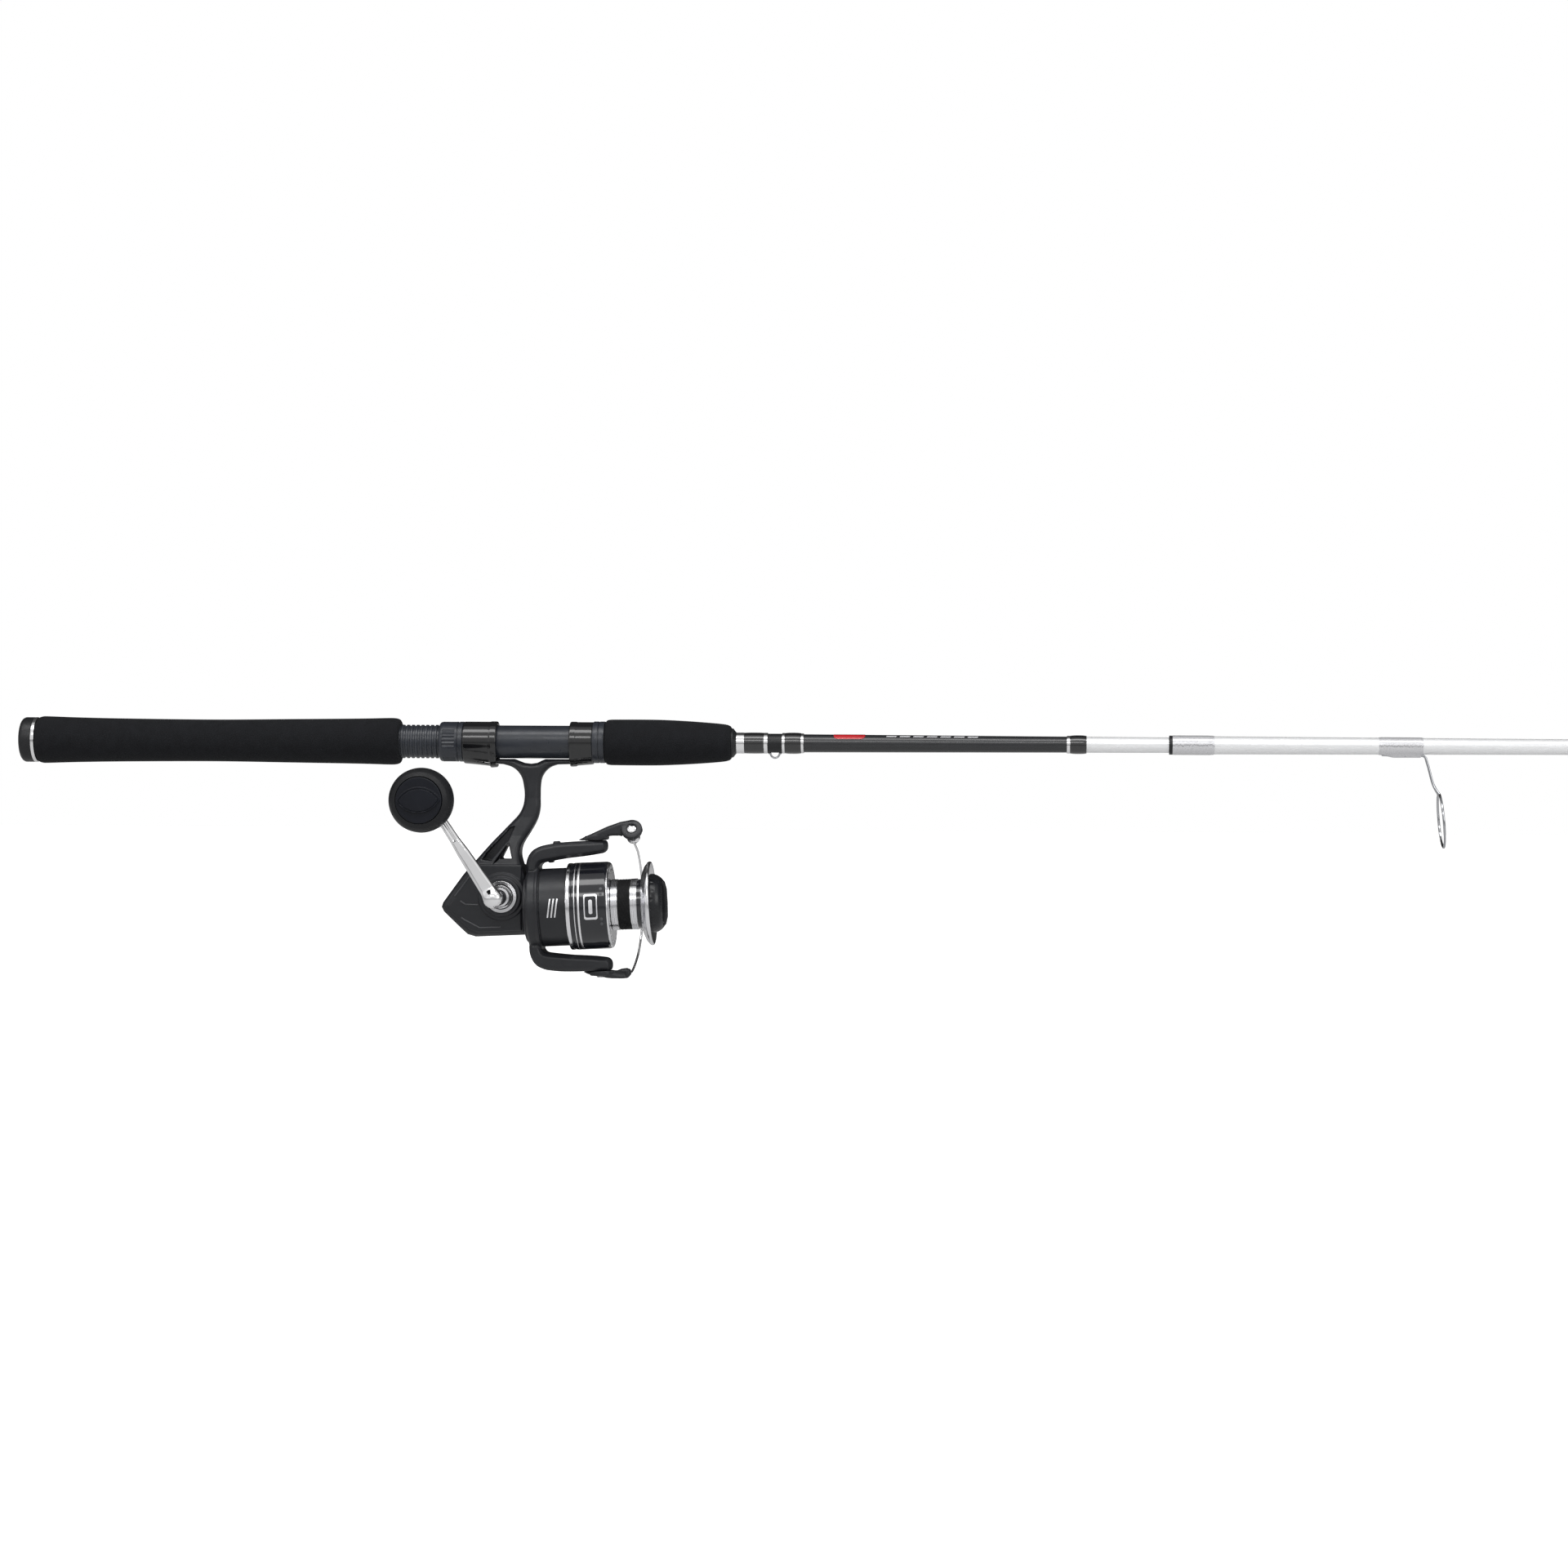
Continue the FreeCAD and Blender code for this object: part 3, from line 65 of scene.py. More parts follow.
# ---------------------------------------------------------------- materials
class Nodes:
    """Small helper for building the node tree of a material or of the surround."""

    def __init__(self, owner):
        owner.use_nodes = True
        self.owner = owner
        self.tree = owner.node_tree
        self.shader = self.tree.nodes.get("Principled BSDF")

    def fill(self, node, inputs):
        """Sets a constant on the socket itself, and links the output of another node."""
        for key, value in inputs.items():
            if isinstance(value, bpy.types.NodeSocket):
                self.tree.links.new(value, node.inputs[key])
            else:
                node.inputs[key].default_value = value

    def add(self, kind, inputs=None, **settings):
        node = self.tree.nodes.new(kind)
        for key, value in settings.items():
            setattr(node, key, value)
        self.fill(node, inputs or {})
        return node

    def shade(self, **values):
        """Fills the shader's inputs; an underscore stands for a space in a socket's name."""
        self.fill(self.shader, {key.replace("_", " "): value for key, value in values.items()})

    def coords(self, scale=(1, 1, 1)):
        """Object coordinates in millimetres, stretched by scale."""
        place = self.add("ShaderNodeTexCoord").outputs["Object"]
        inputs = {"Vector": place, "Scale": [1000 * s for s in scale]}
        return self.add("ShaderNodeMapping", inputs).outputs["Vector"]

    def noise(self, vector, scale, detail=3.0, rough=0.55):
        inputs = {"Vector": vector, "Scale": scale, "Detail": detail, "Roughness": rough}
        return self.add("ShaderNodeTexNoise", inputs).outputs["Fac"]

    def remap(self, value, low, high, from_low=0.3, from_high=0.7):
        inputs = {"Value": value, "From Min": from_low, "From Max": from_high,
                  "To Min": low, "To Max": high}
        return self.add("ShaderNodeMapRange", inputs).outputs["Result"]

    def mix(self, factor, a, b):
        """Blend of two colours, each a plain (r, g, b) or the output of another node."""
        a, b = [(*value, 1.0) if isinstance(value, tuple) else value for value in (a, b)]
        return self.add("ShaderNodeMix", {0: factor, 6: a, 7: b}, data_type="RGBA").outputs[2]

    def math(self, operation, a, b=0.0):
        return self.add("ShaderNodeMath", {0: a, 1: b}, operation=operation).outputs["Value"]

    def bump(self, height, distance_mm, strength=1.0):
        inputs = {"Height": height, "Distance": distance_mm * MM, "Strength": strength}
        self.shade(Normal=self.add("ShaderNodeBump", inputs).outputs["Normal"])


# The materials by name. The record's slot is the material's name, except eva_foam, which wears foam.
MATERIALS = {}


def new_nodes(name):
    material = bpy.data.materials.new(name)
    MATERIALS[name] = material
    return Nodes(material)


def moulded(name, dark, light, rough, grain=0.35, grain_depth=0.03, coat=0.0, specular=0.5):
    """Moulded or painted plastic: fine grain, slow colour drift and uneven roughness."""
    m = new_nodes(name)
    vector = m.coords()
    m.shade(Base_Color=m.mix(m.remap(m.noise(vector, 0.05, 2.0), 0.0, 1.0), dark, light),
            Roughness=m.remap(m.noise(vector, 0.25), rough * 0.85, rough * 1.2),
            Coat_Weight=coat, Coat_Roughness=0.06, Specular_IOR_Level=specular)
    m.bump(m.noise(vector, 1.0 / grain, 4.0, 0.6), grain_depth)
    return m.owner


def metal(name, colour, rough, depth=0.01, drift=0.04):
    """Bright metal with fine directional scratches and faint smears in its roughness."""
    m = new_nodes(name)
    smear = m.noise(m.coords(), 0.12, 2.0)
    shade = tuple(max(0.0, c - drift) for c in colour)
    m.shade(Base_Color=m.mix(m.remap(smear, 0.0, 1.0), shade, colour),
            Roughness=m.remap(smear, rough * 0.7, rough * 1.4), Metallic=1.0)
    m.bump(m.noise(m.coords((0.05, 2.0, 2.0)), 1.6, 5.0, 0.65), depth, 0.5)
    return m.owner


def foam():
    """Closed-cell grip foam: tiny pits over soft mottling."""
    m = new_nodes("foam")
    vector = m.coords()
    cells = m.add("ShaderNodeTexVoronoi", {"Vector": vector, "Scale": 1.7}).outputs["Distance"]
    mottling = m.noise(vector, 0.18, 4.0, 0.6)
    fine = m.noise(vector, 2.4)
    colour = m.mix(m.remap(mottling, 0.0, 1.0), (0.0060, 0.0064, 0.0078), (0.0115, 0.0122, 0.0142))
    m.shade(Base_Color=m.mix(m.remap(fine, 0.0, 0.35, 0.55, 0.8), colour, (0.022, 0.022, 0.024)),
            Roughness=m.remap(mottling, 0.78, 0.95), Specular_IOR_Level=0.16, Sheen_Weight=0.02,
            Sheen_Roughness=0.5)
    m.bump(m.math("ADD", m.math("MULTIPLY", cells, 0.6), fine), 0.16, 0.9)
    return m.owner


def thread_wrap(name, low, high, rough, metallic=0.0, painted_reflection=False):
    """Rod-building thread wound round the blank under clear varnish, with a ragged painted dark reflection
    line at mid-height.
    """
    pitch = 0.32
    m = new_nodes(name)
    inputs = {"Vector": m.coords(), "Scale": 1.0 / pitch / 3.2, "Distortion": 0.6, "Detail": 2.0}
    wave = m.add("ShaderNodeTexWave", inputs, wave_type="BANDS", bands_direction="X")
    spark = m.noise(m.coords((3.0, 0.9, 0.9)), 1.3, 4.0, 0.7)
    mixed = m.math("MULTIPLY", wave.outputs["Fac"], m.remap(spark, 0.35, 1.0))
    colour = m.mix(mixed, low, high)
    # Painted reflection: a ragged dark grey line along the wrap at mid-height, where a shiny cylinder
    # mirrors a dark band.
    if painted_reflection:
        height = m.add("ShaderNodeSeparateXYZ", {"Vector": m.coords()}).outputs["Z"]
        ragged = m.remap(m.noise(m.coords((1.0, 0.05, 0.05)), 0.9, 5.0, 0.8), -1.1, 1.1)
        off_reflection = m.math("ABSOLUTE", m.math("ADD", height, ragged))
        colour = m.mix(m.math("LESS_THAN", off_reflection, 0.17), colour, (0.10, 0.10, 0.11))
    m.shade(Base_Color=colour, Roughness=m.remap(spark, rough * 0.7, rough * 1.4), Metallic=metallic,
            Coat_Weight=1.0, Coat_Roughness=0.05)
    m.bump(mixed, 0.05, 0.7)
    return m.owner


def blank_material(name, dark, light, rough, coat, metallic=0.0):
    """Clear-coated rod blank: faint spiral wrap marks under a smooth coat."""
    m = new_nodes(name)
    spiral = m.noise(m.coords((0.12, 0.9, 0.9)), 0.8)
    grain = m.noise(m.coords(), 5.0, 2.0)
    mixed = m.math("ADD", m.math("MULTIPLY", spiral, 0.7), m.math("MULTIPLY", grain, 0.3))
    m.shade(Base_Color=m.mix(m.remap(mixed, 0.0, 1.0), dark, light),
            Roughness=m.remap(spiral, rough * 0.8, rough * 1.25), Coat_Weight=coat,
            Coat_Roughness=0.08, Metallic=metallic)
    m.bump(spiral, 0.015, 0.6)
    return m.owner


# ---------------------------------------------------------------- mesh helpers
def finish_piece(mesh, body, material, matrix=None, replaces=None, smooth_deg=35):
    """Turns a millimetre mesh into a piece of the object, named like it, that rides on a body."""
    if matrix is not None:
        mesh.transform(matrix)
    mesh.transform(Matrix.Scale(MM, 4))
    mesh.materials.append(material)
    piece = bpy.data.objects.new(mesh.name, mesh)
    SCENE.collection.objects.link(piece)
    for polygon in mesh.polygons:
        polygon.use_smooth = True
    mesh.set_sharp_from_angle(angle=math.radians(smooth_deg))
    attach(piece, body)
    if replaces:
        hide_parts(replaces)


def mesh_from(name, verts, faces):
    mesh = bpy.data.meshes.new(name)
    mesh.from_pydata([tuple(v) for v in verts], [], [tuple(f) for f in faces])
    mesh.validate()
    mesh.update()
    return mesh


def skin(name, rings, loop=True, merge=False):
    """Mesh through closed rings of points; loop joins the last ring to the first, else both are capped."""
    width = len(rings[0])
    verts = [point for ring in rings for point in ring]
    faces = []
    for index in range(len(rings) if loop else len(rings) - 1):
        a, b = index * width, (index + 1) % len(rings) * width
        for step in range(width):
            following = (step + 1) % width
            faces.append((a + step, a + following, b + following, b + step))
    if not loop:
        faces += [tuple(range(width))[::-1], tuple(range(len(verts) - width, len(verts)))]
    mesh = mesh_from(name, verts, faces)
    bm = bmesh.new()
    bm.from_mesh(mesh)
    if merge:
        bmesh.ops.remove_doubles(bm, verts=bm.verts, dist=0.0005)
    bmesh.ops.recalc_face_normals(bm, faces=bm.faces)
    bm.to_mesh(mesh)
    bm.free()
    return mesh


def turns(count):
    """Angles of count equal steps round a circle."""
    return [2 * math.pi * step / count for step in range(count)]


def rounded(profile, radius, steps=3):
    """A closed outline with its corners turned into small arcs."""
    if radius <= 0:
        return [Vector(point) for point in profile]
    result = []
    for index, point in enumerate(profile):
        here = Vector(point)
        a = Vector(profile[index - 1]) - here
        b = Vector(profile[(index + 1) % len(profile)]) - here
        reach = min(radius, a.length * 0.45, b.length * 0.45)
        start, end = here + a.normalized() * reach, here + b.normalized() * reach
        for step in range(steps + 1):
            t = step / steps
            result.append(start * (1 - t) ** 2 + here * 2 * t * (1 - t) + end * t ** 2)
    return result


def lathe(name, profile, segments=96, radius=0.25):
    """Closed surface of revolution about X from a closed (x, r) outline with rounded corners."""
    points = rounded(profile, radius)
    return skin(name, [[(x, r * math.cos(angle), r * math.sin(angle)) for x, r in points]
                       for angle in turns(segments)], merge=True)


def turned(name, stations, radius_at, bore, segments):
    """Closed body round X whose outer radius changes with place and angle (0 is up, +Z)."""
    rings = []
    for index, x in enumerate(stations + [stations[-1], stations[0]]):
        outside = index < len(stations)
        ring = []
        for angle in turns(segments):
            r = radius_at(x, angle) if outside else bore
            ring.append((x, r * math.sin(angle), r * math.cos(angle)))
        rings.append(ring)
    return skin(name, rings)


def tube_along(name, points, radii, segments=16, closed=False, up=Vector((0, 1, 0))):
    """Round bar along points, with one radius for each point."""
    rings = []
    last = len(points) - 1
    for index, point in enumerate(points):
        before, after = points[max(index - 1, 0)], points[min(index + 1, last)]
        if closed:
            before, after = points[index - 1], points[(index + 1) % len(points)]
        tangent = (after - before).normalized()
        side = tangent.cross(up).normalized()
        lift = side.cross(tangent).normalized()
        rings.append([point + (side * math.cos(angle) + lift * math.sin(angle)) * radii[index]
                      for angle in turns(segments)])
    return skin(name, rings, loop=closed)


def wrap_plate(name, x, width, s0, s1, radius, lift, side=0.0, slant=0.0, corner=0.0, rows=14):
    """Thin printed patch on a cylinder about X. s runs round it from the near side, in mm of arc."""
    rings = []
    for row in range(rows + 1):
        s = s0 + (s1 - s0) * row / rows
        end = min(s - s0, s1 - s)
        inset = 0.0
        if end < corner:
            inset = corner - math.sqrt(max(corner ** 2 - (corner - end) ** 2, 0.0))
        middle = x + slant * (s - s0) / (s1 - s0)
        half = width / 2 - inset
        angle = s / radius + side
        low, high = radius - 0.2, radius + lift
        rings.append([(middle + edge * half, -r * math.cos(angle), r * math.sin(angle))
                      for r, edge in ((low, -1), (low, 1), (high, 1), (high, -1))])
    return skin(name, rings, loop=False)


def catmull(points, per_span=8):
    """Smooth curve through points."""
    points = [Vector(p) for p in points]
    last = len(points) - 1
    result = []
    for index in range(last):
        p0, p1, p2, p3 = (points[min(max(index + k, 0), last)] for k in (-1, 0, 1, 2))
        for step in range(per_span):
            t = step / per_span
            result.append(0.5 * ((2 * p1) + (p2 - p0) * t + (2 * p0 - 5 * p1 + 4 * p2 - p3) * t * t
                                 + (3 * p1 - p0 - 3 * p2 + p3) * t ** 3))
    return result + [points[-1]]


# ---------------------------------------------------------------- implicit solids
class Field:
    """A grid of signed distances in millimetres, carved and joined, then skinned with quads."""

    def __init__(self, low, high, step):
        self.low = np.array(low, float)
        self.step = step = step if PRETTY else 2 * step
        counts = np.ceil((np.array(high, float) - self.low) / step).astype(int) + 1
        self.x = self.low[0] + step * np.arange(counts[0])[:, None, None]
        self.y = self.low[1] + step * np.arange(counts[1])[None, :, None]
        self.z = self.low[2] + step * np.arange(counts[2])[None, None, :]
        self.radial = np.sqrt(self.y ** 2 + self.z ** 2)
        self.value = np.full(tuple(counts), 1e3, np.float32)

    def outline_xz(self, points):
        """Distance to a closed (x, z) polygon, negative inside."""
        u, v = np.broadcast_arrays(self.x[:, 0, :], self.z[:, 0, :])
        points = np.array([tuple(p) for p in points], float)
        best = np.full(u.shape, 1e9)
        inside = np.zeros(u.shape, bool)
        for (ax, ay), (bx, by) in zip(points, np.roll(points, -1, axis=0)):
            ex, ey = bx - ax, by - ay
            wx, wy = u - ax, v - ay
            t = np.clip((wx * ex + wy * ey) / max(ex * ex + ey * ey, 1e-12), 0, 1)
            best = np.minimum(best, (wx - ex * t) ** 2 + (wy - ey * t) ** 2)
            crosses = ((ay > v) != (by > v))
            with np.errstate(divide="ignore", invalid="ignore"):
                at = (bx - ax) * (v - ay) / (by - ay) + ax
            inside ^= crosses & (u < at)
        return np.where(inside, -np.sqrt(best), np.sqrt(best))[:, None, :]

    def slab(self, axis, low, high):
        value = {"x": self.x, "y": self.y, "z": self.z}[axis]
        return np.maximum(low - value, value - high)

    def cylinder(self, axis, centre, radius, low, high, edge=0.5):
        """Round bar along an axis with rounded rims. centre is (u, v) in the other two axes."""
        u, v, w = {"x": (self.y, self.z, self.x), "y": (self.x, self.z, self.y),
                   "z": (self.x, self.y, self.z)}[axis]
        radial = np.sqrt((u - centre[0]) ** 2 + (v - centre[1]) ** 2) - radius
        return self.both(radial, np.maximum(low - w, w - high), edge)

    def bar(self, start, end, radius):
        """Round bar between two points, with ball ends."""
        start, end = np.array(start, float), np.array(end, float)
        axis = end - start
        dx, dy, dz = self.x - start[0], self.y - start[1], self.z - start[2]
        t = np.clip((dx * axis[0] + dy * axis[1] + dz * axis[2]) / float(axis @ axis), 0, 1)
        return np.sqrt((dx - axis[0] * t) ** 2 + (dy - axis[1] * t) ** 2 + (dz - axis[2] * t) ** 2) - radius

    def disc(self, centre, normal, radius, thickness, edge=0.4):
        """Round plate about any direction."""
        centre, normal = np.array(centre, float), np.array(normal, float)
        normal = normal / np.linalg.norm(normal)
        dx, dy, dz = self.x - centre[0], self.y - centre[1], self.z - centre[2]
        along = dx * normal[0] + dy * normal[1] + dz * normal[2]
        radial = np.sqrt(np.maximum(dx ** 2 + dy ** 2 + dz ** 2 - along ** 2, 0)) - radius
        return self.both(radial, np.abs(along) - thickness / 2, edge)

    @staticmethod
    def both(a, b, edge=0.0):
        """Intersection with an edge rounded to that radius."""
        if edge <= 0:
            return np.maximum(a, b)
        a2, b2 = a + edge, b + edge
        return (np.minimum(np.maximum(a2, b2), 0)
                + np.sqrt(np.maximum(a2, 0) ** 2 + np.maximum(b2, 0) ** 2) - edge)

    @staticmethod
    def bevelled(a, b, size, soft=0.25):
        """Intersection with its edge cut off flat, and the new edges softened."""
        return Field.both(Field.both(a, b, soft), (a + b + size) * 0.7071, soft)

    @staticmethod
    def soft_min(a, b, blend):
        if blend <= 0:
            return np.minimum(a, b)
        h = np.clip(0.5 + 0.5 * (b - a) / blend, 0, 1)
        return b * (1 - h) + a * h - blend * h * (1 - h)

    def add(self, shape, blend=0.0):
        self.value = self.soft_min(self.value, shape, blend).astype(np.float32)

    def carve(self, shape, blend=0.0):
        self.value = (-self.soft_min(-self.value, shape, blend)).astype(np.float32)

    def carve_faces(self, shape, depth, edge, blend):
        """Carves shape into both faces of a part, leaving depth on each side of the XZ plane."""
        self.carve(self.both(shape, depth - np.abs(self.y), edge), blend)

    def keep(self, shape, edge=0.0):
        self.value = self.both(self.value, shape, edge).astype(np.float32)

    def mesh(self, name):
        """Surface nets: one vertex in each cell that the surface crosses, one quad for each edge."""
        v = np.pad(self.value, 1, constant_values=10.0)
        inside = v < 0
        corners = [(i, j, k) for i in (0, 1) for j in (0, 1) for k in (0, 1)]
        shape = tuple(n - 1 for n in v.shape)

        def part(array, offset):
            i, j, k = offset
            return array[i:i + shape[0], j:j + shape[1], k:k + shape[2]]

        count = sum(part(inside, c).astype(np.int8) for c in corners)
        cells = (count > 0) & (count < 8)
        total = np.zeros(shape + (3,), np.float32)
        crossings = np.zeros(shape, np.float32)
        for axis in range(3):
            for c in corners:
                if c[axis]:
                    continue
                d = tuple(1 if index == axis else value for index, value in enumerate(c))
                a, b = part(v, c), part(v, d)
                crossed = cells & ((a < 0) != (b < 0))
                t = np.where(crossed, a / np.where(crossed, a - b, 1), 0)
                for index in range(3):
                    total[..., index] += crossed * (c[index] + (t if index == axis else 0))
                crossings += crossed
        where = np.argwhere(cells)
        local = total[cells] / crossings[cells][:, None]
        verts = (where + local - 1) * self.step + self.low
        number = np.full(shape, -1)
        number[cells] = np.arange(len(where))
        faces = []
        for axis in range(3):
            a = v[tuple(slice(0, -1) if index == axis else slice(None) for index in range(3))]
            b = v[tuple(slice(1, None) if index == axis else slice(None) for index in range(3))]
            crossed = np.argwhere((a < 0) != (b < 0))
            u, w = [index for index in range(3) if index != axis]
            crossed = crossed[(crossed[:, u] > 0) & (crossed[:, w] > 0)
                              & (crossed[:, u] < shape[u]) & (crossed[:, w] < shape[w])]
            flip = (a[tuple(crossed.T)] < 0) ^ (axis == 1)
            quad = []
            for du, dw in ((1, 1), (0, 1), (0, 0), (1, 0)):
                cell = crossed.copy()
                cell[:, u] -= du
                cell[:, w] -= dw
                quad.append(number[tuple(cell.T)])
            quad = np.stack(quad, axis=1)
            quad[~flip] = quad[~flip][:, ::-1]
            faces.append(quad)
        return mesh_from(name, verts, np.concatenate(faces))


# ---------------------------------------------------------------- finishes
FOAM = foam()
SATIN_BLACK = moulded("satin_black", (0.010, 0.0105, 0.012), (0.015, 0.0155, 0.017), 0.38, specular=0.35)
GLOSS_BLACK = moulded("gloss_black", (0.004, 0.0042, 0.005), (0.007, 0.0072, 0.008), 0.14, 0.8, 0.004,
                      0.5, specular=0.5)
REEL_BLACK = moulded("reel_black", (0.0135, 0.0143, 0.0172), (0.0190, 0.0200, 0.0236), 0.36, 0.28, 0.03,
                     specular=0.42)
# Lighter black with a stronger sheen for the thin raised lines on the housing: painted highlight along the
# lines.
LINE_HIGHLIGHT_BLACK = moulded("line_highlight_black", (0.045, 0.047, 0.052), (0.055, 0.057, 0.062), 0.30, specular=0.6)
SEAT_GRAPHITE = moulded("seat_graphite", (0.018, 0.021, 0.028), (0.025, 0.029, 0.038), 0.32, 0.5, 0.010,
                        specular=0.55)
GREY_TRIM = moulded("grey_trim", (0.06, 0.062, 0.068), (0.09, 0.092, 0.098), 0.35)
SPOOL_BLACK = moulded("spool_black", (0.006, 0.0068, 0.010), (0.010, 0.0108, 0.015), 0.10, 0.9, 0.003,
                      0.5, specular=0.5)
KNOB_BLACK = moulded("knob_black", (0.010, 0.0105, 0.012), (0.016, 0.0165, 0.019), 0.45, 0.3, 0.03,
                     specular=0.25)
KNOB_GLOSS = moulded("knob_gloss", (0.006, 0.0065, 0.008), (0.011, 0.012, 0.015), 0.26, 0.5, 0.008,
                     specular=0.4)
KNOB_CAP = moulded("knob_cap", (0.006, 0.007, 0.011), (0.010, 0.012, 0.018), 0.34, 0.4, 0.010,
                   specular=0.22)
BAND_RUBBER = moulded("band_rubber", (0.004, 0.004, 0.0045), (0.010, 0.010, 0.011), 0.7, 0.9, 0.10,
                      specular=0.2)
SILVER_TRIM = metal("silver_trim", (0.86, 0.86, 0.88), 0.16)
GUIDE_STEEL = metal("guide_steel", (0.50, 0.51, 0.53), 0.10, depth=0.002)
PRINT_WHITE = moulded("print_white", (0.62, 0.62, 0.64), (0.72, 0.72, 0.74), 0.4, 0.5, 0.004)
PRINT_SILVER = metal("print_silver", (0.90, 0.90, 0.92), 0.34, depth=0.002)
POLISHED = metal("polished_steel", (0.88, 0.88, 0.89), 0.06, depth=0.003)
CHROME = metal("chrome", (0.92, 0.92, 0.93), 0.05, depth=0.002, drift=0.02)
BLANK_SILVER = blank_material("blank_silver", (0.84, 0.845, 0.855), (0.90, 0.905, 0.915), 0.24, 0.8, 0.2)
SILVER_WRAP = thread_wrap("silver_wrap", (0.52, 0.52, 0.54), (0.95, 0.95, 0.97), 0.3, metallic=0.35,
                          painted_reflection=True)
GLOSS_WRAP = thread_wrap("gloss_wrap", (0.003, 0.003, 0.004), (0.009, 0.009, 0.010), 0.2)
BADGE_RED = moulded("badge_red", (0.42, 0.010, 0.016), (0.52, 0.016, 0.022), 0.3, 0.5, 0.004, 0.6)
# Finishes that only CAD nodes wear.
moulded("drag_felt", (0.10, 0.09, 0.075), (0.20, 0.18, 0.15), 0.9, 0.4, 0.1)
metal("ring_steel", (0.60, 0.61, 0.63), 0.12)
metal("steel", (0.58, 0.58, 0.60), 0.26)
metal("gear_alloy", (0.52, 0.52, 0.53), 0.42, depth=0.03)
metal("gear_brass", (0.72, 0.55, 0.26), 0.28)
blank_material("blank_dark", (0.012, 0.013, 0.015), (0.019, 0.020, 0.023), 0.30, 0.35)


# ---------------------------------------------------------------- reel body
BOSS_X, BOSS_Z = (REEL @ Vector((DRIVE_X, 0, DRIVE_Z))).xz
BODY_FRONT = 328.9
SIDE_SPLIT = 9.6
STYLING_FACE = 13.85
SEAT_R = 10.5
SCREW_PLACES = [(-46.0, 2.0), (-34.5, 19.5), (-7.0, -12.2), (-36.6, -8.6)]
HOUSING = [(330.6, -123.0), (296.5, -124.6), (291.5, -123.0), (276.5, -108.5), (275.0, -105.5),
           (276.0, -102.6), (289.0, -84.6), (296.6, -75.7), (325.3, -75.7), (326.1, -79.1),
           (BODY_FRONT, -87.0)]
PLATE = [(BODY_FRONT - 2.2, -120.0), (298.5, -121.4), (293.6, -119.6), (280.2, -107.4), (279.6, -104.6),
         (291.6, -87.4), (299.2, -78.4), (BODY_FRONT - 2.6, -78.4)]
STEM_REAR = [(296.6, -75.7), (307.0, -63.6), (317.5, -52.6), (323.2, -46.3), (326.0, -40.5),
             (326.8, -34.0), (326.3, -28.5), (325.0, -22.9), (322.3, -18.7), (318.4, -15.9),
             (313.0, -14.3)]
STEM_FRONT = [(347.8, -14.3), (343.4, -15.9), (339.9, -18.9), (337.7, -23.0), (336.9, -28.5),
              (336.8, -36.0), (336.7, -42.5), (335.0, -49.3), (330.7, -57.2), (326.6, -63.6),
              (324.8, -68.0), (324.5, -73.0), (326.1, -79.1)]


def body_side_outline():
    """The whole side outline of housing, stem and foot."""
    foot = [(309.3, -14.1), (295.5, -12.2), (295.5, -10.9), (320.0, -10.9), (323.0, -12.1),
            (326.5, -13.4), (331.0, -13.9), (335.0, -13.3), (337.6, -12.0), (340.0, -10.9),
            (367.5, -10.9), (367.5, -12.4), (356.0, -14.1)]
    return HOUSING[:7] + catmull(STEM_REAR, 6) + foot + catmull(STEM_FRONT, 6) + HOUSING[-1:]


def body_half_width(z):
    """Half width of the body across Y at height z, smooth from foot to housing floor."""
    knots = [(-125.2, 8.4), (-123.0, 10.6), (-119.0, 12.3), (-113.0, 13.0), (-90.0, 13.0), (-80.0, 12.2),
             (-70.0, 9.8), (-60.0, 7.0), (-48.0, 5.2), (-36.0, 4.5), (-24.0, 4.7), (-16.5, 5.6),
             (-10.0, 5.6)]
    return np.interp(z, [k[0] for k in knots], [k[1] for k in knots])


